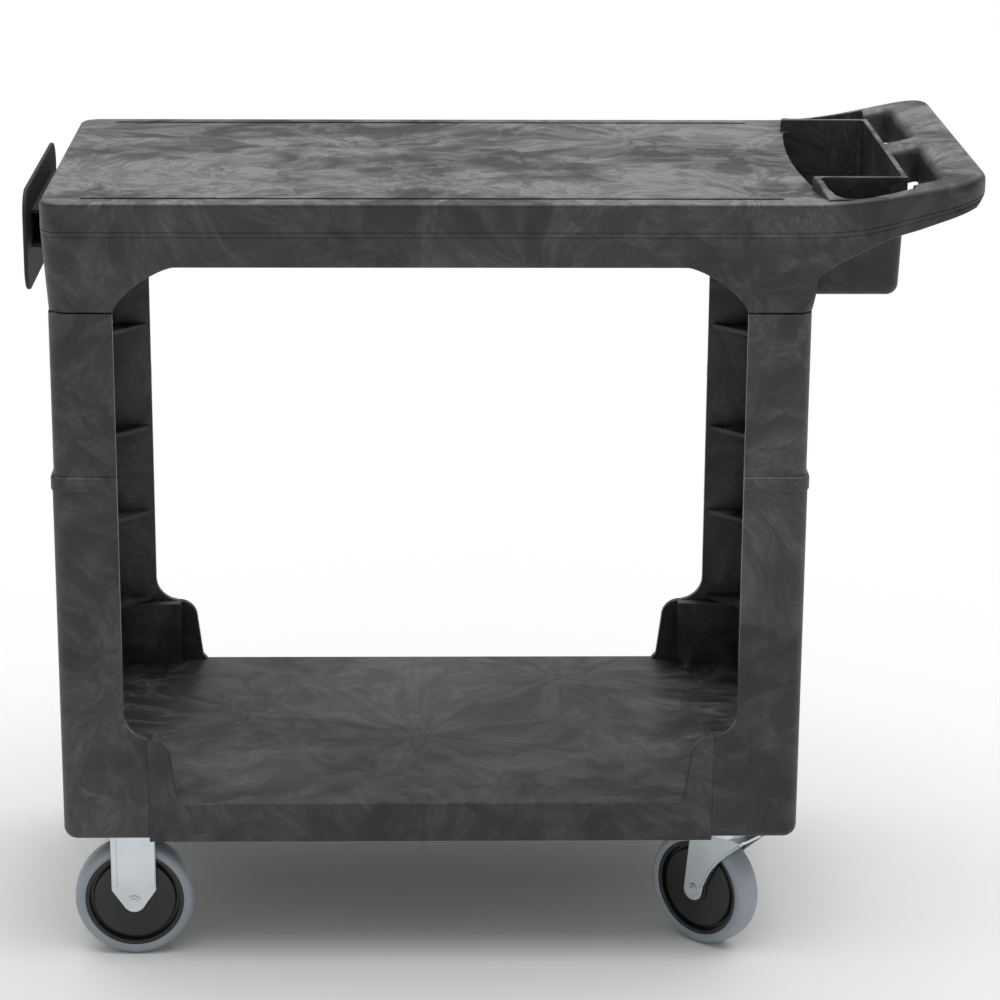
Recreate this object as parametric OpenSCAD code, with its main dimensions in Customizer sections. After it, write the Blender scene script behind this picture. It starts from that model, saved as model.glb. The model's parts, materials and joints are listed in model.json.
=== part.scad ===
// Two-shelf service trolley in moulded structural foam: four L-section legs, a flat upper
// shelf with a storage bin and a raised push handle at one end, a cord wrap at the other,
// two rigid casters under the cord-wrap end and two swivel casters under the handle end.
// +X runs towards the handle, +Y to the back, +Z up. The origin is on the floor, under the
// middle of the whole trolley. All sizes are in millimetres.

/* [Trolley] */
// Length over the outer faces of the legs
cart_l = 766; // [740:1:840]
// Width over the outer faces of the legs
cart_w = 454; // [440:1:500]
// Height of the upper deck above the floor
deck_h = 818; // [800:1:850]
// Height of the lower deck above the floor
lower_h = 182; // [180:1:190]
// Thickness of the moulded walls
wall = 7; // [6:0.5:8]

/* [Upper shelf] */
// Depth of the apron along the sides
apron_h = 65; // [60:1:75]
// How far the rim stands out past the legs
rim_out = 4; // [2:0.5:5]
// Radius of the rim corners, seen from above
rim_r = 22; // [15:1:30]
// Depth of the corner stubs that take the legs
stub_h = 111; // [100:1:120]
// Reach of the handle past the outer face of the legs
handle_reach = 171; // [150:1:180]
// Width of the handle bar
bar_w = 47; // [36:1:50]
// Radius of the handle corners, seen from above
handle_r = 40; // [30:1:50]
// Depth of the storage bin
bin_depth = 120; // [100:1:125]
// Width of the storage bin across the trolley
bin_w = 320; // [260:1:330]
// Height of the bin rim above the deck
bin_rim = 13; // [8:1:16]
// Distance of the deck grooves from the middle line
groove_y = 205; // [190:1:208]

/* [Lower shelf] */
// Depth of the skirt below the lower deck
skirt_h = 42; // [38:1:46]
// Height of the corner walls above the lower deck
corner_h = 72; // [60:1:80]

/* [Legs] */
// Width of each leg flange
leg_w = 66; // [60:1:72]
// Width of each flange at the foot
foot_w = 89.5; // [86:0.5:92]
// Height of the bead around the leg above the floor
bead_z = 528; // [480:1:560]

/* [Casters] */
// Wheel diameter
wheel_d = 127; // [120:1:130]
// Wheel width
wheel_w = 32; // [28:1:34]
// Distance of the casters from the middle line
caster_y = 186; // [176:1:187]
// Distance of the rigid casters from the middle of the legs
rigid_x = 313; // [300:1:318]
// Distance of the kingpins from the middle of the legs
swivel_x = 315; // [300:1:318]
// Overall height of a caster, floor to mounting face
caster_h = 157; // [156:1:159]
// Trail: how far the wheel's axle lies behind the kingpin
trail = 30; // [26:1:34]
// Rest angle of the swivel casters, turned outwards at the front of the wheel
swivel_turn = 43; // [0:1:60]

/* [Cord wrap] */
// Width of the cord plate across the trolley
wrap_w = 290; // [240:1:320]
// Height of the cord plate
wrap_h = 105; // [90:1:110]
// Gap between the shelf end and the cord plate
wrap_gap = 23; // [20:1:28]

/* [Hidden] */
$fn = 64;

// Colours
foam = "#3c3c40";
zinc = "#c9ccd0";
tread = "#8f9aa3";
hub_black = "#1a1a1c";
dark_plastic = "#26282a";

// Clearances: between two mouldings, around a turning shaft, around a fixed shank
gap = 0.3;
run_fit = 0.05;
joint_gap = 2;
eps = 1;

// Half sizes over the legs, and over the leg tops above the bead
hx = cart_l / 2;
hy = cart_w / 2;
draft = 1.5;
tx = hx - draft;
ty = hy - draft;

// Upper shelf
stub_z = deck_h - stub_h;
apron_z = deck_h - apron_h;
rim_z = deck_h - 28;
deck_under = deck_h - wall;
inner_x = tx - wall;
inner_y = ty - wall;
handle_x = hx + handle_reach - 1;
rise_x = hx - 8;
rise_slope = 0.22;
rise_r = 420;
rise_steps = 8;
bar_x = handle_x - bar_w;
bin_wall = 5;
bin_x = bar_x - 26;
arc_r = 1270;
arc_x = hx - 8;
split_x = arc_x - 3;
wedge_x = hx + rim_out + 1.5;
rim_top = deck_h + bin_rim;
pocket_floor = deck_h - 28;
pocket_t = 4;
pocket_y = hy - wall - 1;
hole_y = hy - 37;
web_half = 24;
rib_t = 5;
rib_h = 28;
apron_top = deck_under - rib_h - 1;
rib_xs = [for (i = [-3.5 : 1 : 3.5]) i * 92];
rib_ys = [for (i = [-2 : 2]) i * 72];

// Lower shelf
skirt_z = lower_h - skirt_h;
corner_z = lower_h + corner_h;
seat = wall + gap;
corner_t = 13;
corner_run = 119;
corner_r = 21;
end_t = 12;

// Legs
foot_r = 18;
crotch_r = 27;
bead_h = 16;
shoulder_z = stub_z - joint_gap;
gusset_t = 5;
gusset_zs = [corner_z + 2, 359, 460, 580];
tenon_t = 8;
tenon_root = 50;

// Casters
wheel_r = wheel_d / 2;
plate_l = 92;
plate_w = 60;
plate_t = 3;
hole_dx = 76;
hole_dy = 44;
screw_r = 3;
screw_up = 14;
head_r = 5.5;
head_t = 4.5;
fork_in = wheel_w / 2 + 3;
fork_t = 2.5;
fork_w = 47;
boss_r = 12;
taper_z = 13;
core_r = 53.5;
hub_r = 15;
bush_r = 9;
sleeve_r = 6;
axle_r = 4;
crown_z = 131;
crown_t = 3;
crown_r = 34;
pin_r = 6;
ball_r = 3.5;
ball_ring = 22.5;
ball_count = 18;
ball_z = caster_h - 8;
race_z = ball_z - ball_r;
shroud_r = 31;

// Cord wrap
wrap_t = 4;
wrap_z = deck_h - 59.5;
wrap_x = hx + 2 + wrap_gap;
neck_w = 200;
neck_h = 39;
neck_top = deck_h - 34;
wrap_screw_y = 70;

// The whole trolley is centred between the cord plate and the handle
bay_x = -(handle_x - wrap_x - wrap_t) / 2;

// Points of an arc from one angle to another
function arc(c, r, a0, a1, n) =
  [for (i = [0 : n]) c + r * [cos(a0 + (a1 - a0) * i / n), sin(a0 + (a1 - a0) * i / n)]];

// Height of the top line of the rails above the deck, at x
function rise(x) = let(d = max(0, x - rise_x), d1 = rise_r * sin(atan(rise_slope)))
  d < d1 ? rise_r - sqrt(rise_r * rise_r - d * d)
         : rise_r * (1 - cos(atan(rise_slope))) + (d - d1) * rise_slope;

// Place in x of the tapered left end of the upper shelf, at a height
function shelf_end(z) = -tx - (z - stub_z) * (hx + rim_out - tx) / (rim_z - stub_z);

// Puts a child that is drawn about the middle of the legs in its place
module in_bay() {
  translate([bay_x, 0, 0]) children();
}

// A prism whose outline is drawn in X and Z, centred on Y
module across(w) {
  rotate([90, 0, 0]) linear_extrude(w, center = true) children();
}

// A prism whose outline is drawn in Y and Z, from x = 0 to x = l
module along(l) {
  rotate([90, 0, 90]) linear_extrude(l) children();
}

// Rectangle from x0 to x1 with round corners, of one radius at each end
module round_rect(x0, x1, hw, r0, r1) {
  translate([x0 + r0, -hw]) square([x1 - r1 - x0 - r0, 2 * hw]);
  translate([x0, r0 - hw]) square([r0 + eps, 2 * (hw - r0)]);
  translate([x1 - r1 - eps, r1 - hw]) square([r1 + eps, 2 * (hw - r1)]);
  for (s = [-1, 1]) {
    translate([x0 + r0, s * (hw - r0)]) circle(r0);
    translate([x1 - r1, s * (hw - r1)]) circle(r1);
  }
}

// ---------------------------------------------------------------- upper shelf

// Side outline of the upper shelf, with the rails that sweep up to the handle
module shelf_side() {
  lip = deck_h + rise(handle_x);
  rails = [for (i = [0 : rise_steps]) let(x = rise_x + i * (handle_x - 6 - rise_x) / rise_steps)
    [x, deck_h + rise(x)]];
  polygon(concat(
    [[-tx, stub_z], [-hx - rim_out, rim_z], [-hx - rim_out, deck_h - 5], [-hx + 1, deck_h]],
    rails,
    [[handle_x, lip - 6], [handle_x, lip - 16], [handle_x - 4, lip - 27],
     [handle_x - 11, lip - 34], [hx + 81, apron_z + 32], [hx + 22, apron_z + 4],
     [hx + 3, apron_z - 10], [tx, stub_z]]));
}

// The opening between two legs, with eased upper corners
module arch(half) {
  a = 62;
  b = apron_z - stub_z + 1;
  n = 8;
  q = 1.3;
  left = [for (i = [0 : n]) let(t = 90 * i / n)
    [-half + a - a * pow(cos(t), q), stub_z - 1 + b * pow(sin(t), q)]];
  right = [for (i = [n : -1 : 0]) [-left[i][0], left[i][1]]];
  polygon(concat([[-half, stub_z - 60]], left, right, [[half, stub_z - 60]]));
}

// Everything past the curved end of the deck, up to x1 and half width hw
module past_arc(inset, x1, hw) {
  intersection() {
    translate([arc_x + arc_r, 0]) circle(arc_r - inset, $fn = 180);
    translate([arc_x - 5, -hw]) square([x1 - arc_x + 5, 2 * hw]);
  }
}

// Outer form: side outline, plan outline and the taper of the apron
module shelf_form() {
  intersection() {
    across(2 * hy + 20) shelf_side();
    translate([0, 0, stub_z - 10]) linear_extrude(200)
      round_rect(-hx - rim_out, handle_x, hy + rim_out / 2, rim_r, handle_r);
    translate([-hx - 20, 0, 0]) along(cart_l + 300)
      polygon([[-ty, stub_z - 5], [-hy - rim_out / 2, rim_z], [-hy - rim_out / 2, deck_h + 60],
               [hy + rim_out / 2, deck_h + 60], [hy + rim_out / 2, rim_z], [ty, stub_z - 5]]);
  }
}

// Bin body with the raised rim that runs out to the rails
module bin_form() {
  difference() {
    translate([0, 0, pocket_floor - pocket_t]) linear_extrude(rim_top - pocket_floor + pocket_t)
      past_arc(0, bin_x, pocket_y + 0.5);
    for (s = [0, 1]) mirror([0, s, 0]) translate([arc_x - 10, 0, 0]) along(bin_x - arc_x + 20)
      polygon([[bin_w / 2, rim_top], [pocket_y + 1, deck_h + 2.5], [pocket_y + 1, rim_top + 1],
               [bin_w / 2, rim_top + 1]]);
  }
  translate([0, 0, rim_top - bin_depth - bin_wall]) linear_extrude(bin_depth)
    past_arc(0, bin_x, bin_w / 2);
}

module bin_space() {
  translate([0, 0, rim_top - bin_depth]) linear_extrude(bin_depth + 30)
    past_arc(bin_wall + 2, bin_x - bin_wall, bin_w / 2 - bin_wall);
  translate([0, 0, deck_h]) linear_extrude(40)
    past_arc(-1.5, bin_x - bin_wall, bin_w / 2 - bin_wall);
}

// Side pocket between the bin and a rail, open to the hand opening beside it
module pocket_space() {
  y0 = bin_w / 2 + bin_wall;
  r = 8;
  translate([0, 0, pocket_floor]) linear_extrude(100)
    polygon(concat(
      arc([arc_x + 30, y0 + r], r, 270, 180, 4),
      [[arc_x + 34, pocket_y - 22], [arc_x + 48, pocket_y - 3], [arc_x + 58, pocket_y],
       [bin_x + 1, pocket_y - 12], [bin_x + 1, y0]]));
}

// Hand opening between the bin and the handle bar
module hand_opening() {
  r = 10;
  translate([0, 0, stub_z]) linear_extrude(200) {
    translate([bin_x, web_half + r]) square([bar_x - bin_x - r, hole_y - web_half - 2 * r]);
    translate([bin_x, web_half + r]) square([bar_x - bin_x, hole_y - web_half - 2 * r]);
    translate([bin_x + r, web_half]) square([bar_x - bin_x - 2 * r, hole_y - web_half]);
    for (x = [bin_x + r, bar_x - r], y = [web_half + r, hole_y - r]) translate([x, y]) circle(r);
    translate([bin_x, bin_w / 2 + bin_wall]) square([r, hole_y - bin_w / 2 - bin_wall - r]);
  }
}

// Everything that the underside leaves open
module shelf_hollow() {
  translate([0, 0, stub_z - 20]) linear_extrude(deck_under - stub_z + 20)
    round_rect(-inner_x, arc_x - 2, inner_y, rim_r - wall, 1);
  translate([arc_x - 3, -inner_y, stub_z - 20])
    cube([inner_x - arc_x + 3, 2 * inner_y, pocket_floor - pocket_t - stub_z + 20]);
  translate([wedge_x, -inner_y, stub_z - 20])
    cube([bin_x - wedge_x, 2 * inner_y, pocket_floor - pocket_t - stub_z + 20]);
  across(2 * hy + 40) arch(hx - leg_w);
  translate([-hx - 20, 0, 0]) along(hx) arch(hy - leg_w);
  translate([bin_x - 60, 0, 0]) along(200) arch(hy - leg_w);
}

module shelf_ribs() {
  z = deck_under - rib_h;
  for (x = rib_xs)
    translate([x - rib_t / 2, -inner_y - eps, z]) cube([rib_t, 2 * (inner_y + eps), rib_h + eps]);
  for (y = rib_ys)
    translate([-inner_x - eps, y - rib_t / 2, z])
      cube([inner_x + arc_x, rib_t, rib_h + eps]);
}

module deck_grooves() {
  x0 = -hx + 38;
  x1 = hx - 34;
  r = 2.5;
  for (s = [-1, 1]) translate([0, s * groove_y, deck_h - 2]) {
    translate([x0, -r, 0]) cube([x1 - x0, 2 * r, 10]);
    for (x = [x0, x1]) translate([x, 0, 0]) cylinder(r = r, h = 10);
  }
}

module upper_moulding() {
  difference() {
    union() {
      difference() {
        shelf_form();
        shelf_hollow();
      }
      shelf_ribs();
      bin_form();
    }
    bin_space();
    for (s = [0, 1]) mirror([0, s, 0]) {
      pocket_space();
      hand_opening();
    }
    deck_grooves();
    for (s = [-1, 1]) translate([-hx - 20, s * wrap_screw_y, wrap_z + 6]) rotate([0, 90, 0])
      cylinder(r = 2.5, h = 40);
  }
}

// Part of the upper moulding between two heights, up to just before the deck's curved end
module deck_side_of_split(z0, z1) {
  color(foam) in_bay() intersection() {
    upper_moulding();
    translate([-hx - 20, -hy - 20, z0]) cube([hx + 20 + split_x, cart_w + 40, z1 - z0]);
  }
}

// The upper deck with the ribs under it and its rim
module top_shelf() { deck_side_of_split(apron_top, deck_h + 20); }

// The apron of the same moulding below the ribs, with the corner stubs for the legs
module top_apron() { deck_side_of_split(stub_z - 10, apron_top); }

// The end of the same moulding: bin, side pockets, rails and handle bar
module handle_end() {
  color(foam) in_bay() intersection() {
    upper_moulding();
    translate([split_x, -hy - 20, stub_z - 10]) cube([handle_x, cart_w + 40, 200]);
  }
}

// ---------------------------------------------------------------- lower shelf

// Plan of the lower shelf, let in at the corners for the feet of the legs
module lower_plan(inset) {
  for (s = [[hx - foot_w - inset - gap, hy - inset], [hx - inset, hy - foot_w - inset - gap],
            [hx - seat - inset, hy - seat - inset]])
    translate([-s[0], -s[1]]) square(2 * s);
}

// Side outline of the free end of a corner wall, measured from the middle of the side
module wall_end(half) {
  x = half - foot_w - gap;
  polygon(concat(
    [[x + 5, lower_h - eps], [x + 5, corner_z]],
    arc([half - corner_run + corner_r + 6, corner_z - corner_r], corner_r, 90, 180, 6),
    [[half - corner_run, lower_h - eps]]));
}

// Corner wall: a thick L behind the foot of the leg and a thin flush end on each side
module corner_wall() {
  ox = hx - seat;
  oy = hy - seat;
  run_x = foot_w - seat + 5;
  translate([0, 0, lower_h - eps]) linear_extrude(corner_h + eps) {
    translate([ox - run_x, oy - corner_t]) square([run_x, corner_t]);
    translate([ox - corner_t, oy - run_x]) square([corner_t, run_x]);
  }
  translate([0, hy - end_t / 2, 0]) across(end_t) intersection() {
    wall_end(hx);
    translate([0, 0]) square([hx - foot_w - gap, 1000]);
  }
  translate([hx - end_t, 0, 0]) along(end_t) intersection() {
    wall_end(hy);
    square([hy - foot_w - gap, 1000]);
  }
}

module caster_spots() {
  for (s = [-1, 1]) {
    translate([-rigid_x, s * caster_y, 0]) children();
    translate([swivel_x, s * caster_y, 0]) children();
  }
}

// The four screw places of a caster plate
module plate_holes() {
  for (sx = [-1, 1], sy = [-1, 1]) translate([sx * hole_dx / 2, sy * hole_dy / 2, 0]) children();
}

module bottom_shelf() {
  under = lower_h - 6;
  color(foam) in_bay() difference() {
    union() {
      difference() {
        translate([0, 0, skirt_z]) linear_extrude(skirt_h) lower_plan(0);
        translate([0, 0, skirt_z - 10]) linear_extrude(under - skirt_z + 10) lower_plan(6);
      }
      for (sx = [0, 1], sy = [0, 1]) mirror([sx, 0, 0]) mirror([0, sy, 0]) corner_wall();
      for (x = rib_xs) if (abs(x) < rigid_x - plate_l / 2 - 10)
        translate([x - rib_t / 2, 7 - hy, skirt_z + 10])
          cube([rib_t, cart_w - 14, skirt_h - 12]);
      for (y = rib_ys) if (abs(y) < caster_y - plate_w / 2 - 6)
        translate([14 - hx, y - rib_t / 2, skirt_z + 10])
          cube([cart_l - 28, rib_t, skirt_h - 12]);
      caster_spots() translate([-plate_l / 2 - 5, -plate_w / 2 - 2, caster_h])
        cube([plate_l + 10, plate_w + 4, lower_h - caster_h - 2]);
    }
    caster_spots() {
      translate([0, 0, caster_h - 1]) plate_holes() cylinder(r = screw_r, h = screw_up + 3);
      translate([0, 0, caster_h - 1]) cylinder(r = 15, h = 6);
      translate([0, 0, skirt_z - 1]) linear_extrude(caster_h - skirt_z + 1) {
        square([plate_l + 2 * gap, plate_w + 2 * gap], center = true);
        circle(shroud_r + gap);
      }
    }
  }
}

// ------------------------------------------------------------------------ legs

// Face of one flange: x is measured from the middle of the side, half is the outer face
module flange_face(half) {
  foot_x = half - foot_w;
  crotch_x = half - leg_w - crotch_r;
  polygon(concat(
    arc([half - foot_r, skirt_z + foot_r], foot_r, -90, 0, 6),
    [[half, shoulder_z], [half - leg_w, shoulder_z]],
    arc([crotch_x, corner_z + crotch_r], crotch_r, 0, -82, 6),
    [[foot_x, corner_z], [foot_x, skirt_z]]));
}

module leg() {
  color(foam) in_bay() {
    intersection() {
      union() {
        translate([0, hy - wall / 2, 0]) across(wall) flange_face(hx);
        translate([hx - wall, 0, 0]) along(wall) flange_face(hy);
        for (z = gusset_zs) translate([0, 0, z]) linear_extrude(gusset_t)
          polygon([[hx - wall + 1, hy - wall + 1], [hx - leg_w + 3, hy - wall + 1],
                   [hx - leg_w + 3, hy - wall], [hx - wall, hy - leg_w + 3],
                   [hx - wall + 1, hy - leg_w + 3]]);
      }
      union() {
        translate([0, 0, skirt_z]) linear_extrude(bead_z - skirt_z)
          round_rect(-hx, hx, hy, 14, 14);
        translate([0, 0, bead_z - 1]) linear_extrude(shoulder_z - bead_z + 1)
          round_rect(-tx, tx, ty, 14, 14);
      }
    }
    difference() {
      translate([0, 0, bead_z - bead_h / 2]) linear_extrude(bead_h) difference() {
        round_rect(-hx - 1.5, hx + 1.5, hy + 1.5, 15, 15);
        round_rect(-hx + wall, hx - wall, hy - wall, 8, 8);
      }
      translate([-hx - 20, -hy - 20, 0]) cube([cart_l + 20 - leg_w, cart_w + 40, deck_h]);
      translate([-hx - 20, -hy - 20, 0]) cube([cart_l + 40, cart_w + 20 - leg_w, deck_h]);
    }
    tenon();
  }
}

// Tongue at the top of the leg, which stands in the corner stub up to the deck
module tenon() {
  ox = inner_x - gap;
  oy = inner_y - gap;
  w = leg_w - wall - 8;
  translate([0, 0, shoulder_z - tenon_root]) linear_extrude(tenon_root + joint_gap + 40) {
    translate([ox - w, oy - tenon_t]) square([w - 12, tenon_t]);
    translate([ox - tenon_t, oy - w]) square([tenon_t, w - 12]);
    translate([ox - 15, oy - 15]) circle(15);
  }
  translate([0, 0, shoulder_z - tenon_root]) linear_extrude(tenon_root) {
    translate([hx - leg_w + 2, oy - tenon_t]) square([leg_w - 12, hy - 6 - oy + tenon_t]);
    translate([ox - tenon_t, hy - leg_w + 2]) square([hx - 6 - ox + tenon_t, leg_w - 12]);
  }
}

module leg_front_left() { mirror([0, 1, 0]) mirrored_x() leg(); }
module leg_front_right() { mirror([0, 1, 0]) leg(); }
module leg_back_left() { mirrored_x() leg(); }
module leg_back_right() { leg(); }

// Mirror about the middle of the legs
module mirrored_x() {
  translate([2 * bay_x, 0, 0]) mirror([1, 0, 0]) children();
}

// ------------------------------------------------------------------- cord wrap

// A plate on a short hollow neck: the cord is wound round the neck behind the plate
module cord_wrap() {
  r = 26;
  color(dark_plastic) in_bay() difference() {
    union() {
      translate([-wrap_x - wrap_t, 0, wrap_z]) along(wrap_t)
        round_rect(-wrap_w / 2, wrap_w / 2, wrap_h / 2, r, r);
      across(neck_w) polygon([
        [-wrap_x - 1, neck_top - neck_h], [-wrap_x - 1, neck_top],
        [shelf_end(neck_top) - gap, neck_top],
        [shelf_end(neck_top - neck_h) - gap, neck_top - neck_h]]);
    }
    translate([-wrap_x, -neck_w, neck_top - neck_h + 4])
      cube([wrap_gap - 5, 2 * neck_w, neck_h - 8]);
    for (s = [-1, 1]) translate([-wrap_x - 20, s * wrap_screw_y, wrap_z + 6]) rotate([0, 90, 0])
      cylinder(r = 2.5, h = 60);
  }
}

module cord_wrap_screws() {
  color(zinc) in_bay() for (s = [-1, 1])
    translate([-inner_x, s * wrap_screw_y, wrap_z + 6]) rotate([0, -90, 0]) {
      cylinder(r = 2.45, h = 20);
      rotate([0, 180, 0]) cylinder(r = 5, h = 3);
    }
}

// --------------------------------------------------------------------- casters

// Places a child at a caster: its own frame has the wheel's axle along Y, the rolling
// direction along +X, and the kingpin or plate centre above its origin on the floor
module at_rigid(side) {
  translate([bay_x - rigid_x, side * caster_y, 0]) children();
}

module at_kingpin(side) {
  translate([bay_x + swivel_x, side * caster_y, 0]) children();
}

module at_swivel_wheel(side) {
  at_kingpin(side) rotate([0, 0, side * swivel_turn]) translate([-trail, 0, 0]) children();
}

// Four hexagon screws that hold one caster plate
module caster_screws() {
  color(zinc) translate([0, 0, caster_h - plate_t]) plate_holes() {
    cylinder(r = screw_r - run_fit, h = plate_t + screw_up);
    translate([0, 0, -head_t]) cylinder(r = head_r, h = head_t, $fn = 6);
    translate([0, 0, -1.2]) cylinder(r = head_r + 1, h = 1.2);
  }
}

// Mounting plate shared by both casters
module base_plate() {
  difference() {
    translate([0, 0, caster_h - plate_t]) linear_extrude(plate_t)
      round_rect(-plate_l / 2, plate_l / 2, plate_w / 2, 6, 6);
    translate([0, 0, caster_h - plate_t - 1]) plate_holes()
      cylinder(r = screw_r + 0.3, h = plate_t + 2);
  }
}

// Cheek of the rigid fork: straight sides, then tapered to the axle boss
module rigid_cheek() {
  polygon(concat(
    [[fork_w / 2, caster_h - plate_t + 0.5], [fork_w / 2, wheel_r + taper_z]],
    arc([0, wheel_r], boss_r, -35, -145, 8),
    [[-fork_w / 2, wheel_r + taper_z], [-fork_w / 2, caster_h - plate_t + 0.5]]));
}

module rigid_fork() {
  color(zinc) difference() {
    union() {
      base_plate();
      for (s = [-1, 1]) {
        translate([0, s * (fork_in + fork_t / 2), 0]) across(fork_t) rigid_cheek();
        for (x = [-1, 1])
          translate([x * (fork_w / 2 - 3) - 3, s * (fork_in + fork_t) - 0.5 + s * 0.5, wheel_r + 16])
            cube([6, 1, caster_h - plate_t - wheel_r - 16]);
      }
    }
    translate([0, 0, wheel_r]) rotate([90, 0, 0])
      cylinder(r = axle_r + run_fit, h = 100, center = true);
  }
}

// Cheek of the swivel fork: narrow at the axle, swept forward to the crown
module swivel_cheek() {
  rear = trail - crown_r + 2;
  polygon(concat(
    [[rear - 6, crown_z + crown_t]],
    arc([0, wheel_r], boss_r, 185, 340, 10),
    [[15, wheel_r + 12], [21, wheel_r + 23], [30, wheel_r + 37], [41, wheel_r + 49],
     [54, wheel_r + 60], [trail + crown_r - 1, crown_z], [trail + crown_r - 1, crown_z + crown_t]]));
}

module swivel_fork() {
  color(zinc) difference() {
    union() {
      for (s = [-1, 1])
        translate([0, s * (fork_in + fork_t / 2), 0]) across(fork_t) swivel_cheek();
      intersection() {
        translate([trail, 0, crown_z]) cylinder(r = crown_r, h = crown_t);
        translate([-50, -fork_in - fork_t, crown_z - 1])
          cube([150, 2 * (fork_in + fork_t), crown_t + 2]);
      }
      translate([trail, 0, crown_z]) cylinder(r = 16, h = race_z - crown_z - 3);
      translate([trail, 0, race_z - 3.5]) cylinder(r = 27, h = 3.5 - run_fit);
    }
    translate([trail, 0, 0]) cylinder(r = pin_r + run_fit, h = 200);
    translate([0, 0, wheel_r]) rotate([90, 0, 0])
      cylinder(r = axle_r + run_fit, h = 100, center = true);
  }
}

// Top plate of the swivel caster with the shroud of its ball race
module swivel_plate() {
  race_top = ball_z + ball_r + run_fit;
  color(zinc) difference() {
    union() {
      base_plate();
      translate([0, 0, race_z + 1]) cylinder(r = shroud_r, h = caster_h - plate_t - race_z - 0.5);
    }
    translate([0, 0, race_z]) cylinder(r = 28, h = race_top - race_z);
    cylinder(r = pin_r + run_fit, h = 200);
  }
}

module kingpin() {
  color(zinc) {
    cylinder_between(pin_r, crown_z - 2.5, caster_h + 2.5);
    cylinder_between(11, crown_z - gap - 3, crown_z - gap);
    cylinder_between(9, caster_h + 0.02, caster_h + 3);
  }
}

module cylinder_between(r, z0, z1) {
  translate([0, 0, z0]) cylinder(r = r, h = z1 - z0);
}

module race_balls() {
  color(zinc) for (i = [0 : ball_count - 1]) rotate([0, 0, i * 360 / ball_count])
    translate([ball_ring, 0, ball_z]) sphere(r = ball_r, $fn = 24);
}

// Axle with a low round head on the side that s points to
module axle(s) {
  reach = fork_in + fork_t;
  color(zinc) translate([0, 0, wheel_r]) rotate([90 * s, 0, 0]) {
    translate([0, 0, -reach - 8]) cylinder(r = axle_r, h = 2 * reach + 8.5);
    translate([0, 0, reach]) cylinder(r = 7, h = 2);
    translate([0, 0, reach + 1.5]) cylinder(r = 4.5, h = 2);
  }
}

module axle_nut(s) {
  color(zinc) translate([0, 0, wheel_r]) rotate([90 * s, 0, 0])
    translate([0, 0, -fork_in - fork_t - 6.5]) difference() {
      cylinder(r = 7.5, h = 6.5, $fn = 6);
      translate([0, 0, -1]) cylinder(r = axle_r + run_fit, h = 9);
    }
}

// Steel sleeve that the axle clamps between the cheeks
module sleeve() {
  color(zinc) translate([0, 0, wheel_r]) rotate([90, 0, 0]) difference() {
    cylinder(r = sleeve_r, h = 2 * fork_in, center = true);
    cylinder(r = axle_r + run_fit, h = 100, center = true);
  }
}

// Turns a profile drawn as radius and width about the axle
module turned() {
  translate([0, 0, wheel_r]) rotate([90, 0, 0]) rotate_extrude($fn = 96) children();
}

module tyre() {
  h = wheel_w / 2;
  color(tread) turned() polygon([
    [core_r - 1.5, -h + 1.5], [core_r, -h + 0.5], [core_r + 4, -h], [wheel_r - 3, -h + 1.5],
    [wheel_r - 0.6, -h + 5], [wheel_r, -h + 9], [wheel_r, h - 9], [wheel_r - 0.6, h - 5],
    [wheel_r - 3, h - 1.5], [core_r + 4, h], [core_r, h - 0.5], [core_r - 1.5, h - 1.5]]);
}

module wheel_core() {
  h = wheel_w / 2;
  rim = core_r - 1.5 - 0.02;
  groove = 44;
  color(hub_black) turned() difference() {
    polygon([
      [bush_r + 0.02, -fork_in + 1], [hub_r - 1, -fork_in + 1], [hub_r, -h + 1.5],
      [groove, -h + 3], [groove, -h + 7], [groove + 3, -h + 7], [groove + 4, -h + 1.2],
      [rim, -h + 1.2], [rim, h - 1.2], [groove + 4, h - 1.2], [groove + 3, h - 7],
      [groove, h - 7], [groove, h - 3], [hub_r, h - 1.5], [hub_r - 1, fork_in - 1],
      [bush_r + 0.02, fork_in - 1]]);
  }
}

module wheel_bush() {
  color("#d9d4c6") turned()
    translate([sleeve_r + run_fit, -fork_in + 0.6])
      square([bush_r - sleeve_r - run_fit, 2 * fork_in - 1.2]);
}

module screws_front_left() { at_rigid(-1) caster_screws(); }
module screws_back_left() { at_rigid(1) caster_screws(); }
module screws_front_right() { at_kingpin(-1) caster_screws(); }
module screws_back_right() { at_kingpin(1) caster_screws(); }

module rigid_fork_front() { at_rigid(-1) rigid_fork(); }
module rigid_axle_front() { at_rigid(-1) axle(1); }
module rigid_nut_front() { at_rigid(-1) axle_nut(1); }
module rigid_sleeve_front() { at_rigid(-1) sleeve(); }
module rigid_fork_back() { at_rigid(1) rigid_fork(); }
module rigid_axle_back() { at_rigid(1) axle(-1); }
module rigid_nut_back() { at_rigid(1) axle_nut(-1); }
module rigid_sleeve_back() { at_rigid(1) sleeve(); }

module swivel_plate_front() { at_kingpin(-1) swivel_plate(); }
module kingpin_front() { at_kingpin(-1) kingpin(); }
module race_balls_front() { at_kingpin(-1) race_balls(); }
module swivel_fork_front() { at_swivel_wheel(-1) swivel_fork(); }
module swivel_axle_front() { at_swivel_wheel(-1) axle(1); }
module swivel_nut_front() { at_swivel_wheel(-1) axle_nut(1); }
module swivel_sleeve_front() { at_swivel_wheel(-1) sleeve(); }

module swivel_plate_back() { at_kingpin(1) swivel_plate(); }
module kingpin_back() { at_kingpin(1) kingpin(); }
module race_balls_back() { at_kingpin(1) race_balls(); }
module swivel_fork_back() { at_swivel_wheel(1) swivel_fork(); }
module swivel_axle_back() { at_swivel_wheel(1) axle(-1); }
module swivel_nut_back() { at_swivel_wheel(1) axle_nut(-1); }
module swivel_sleeve_back() { at_swivel_wheel(1) sleeve(); }

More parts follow.
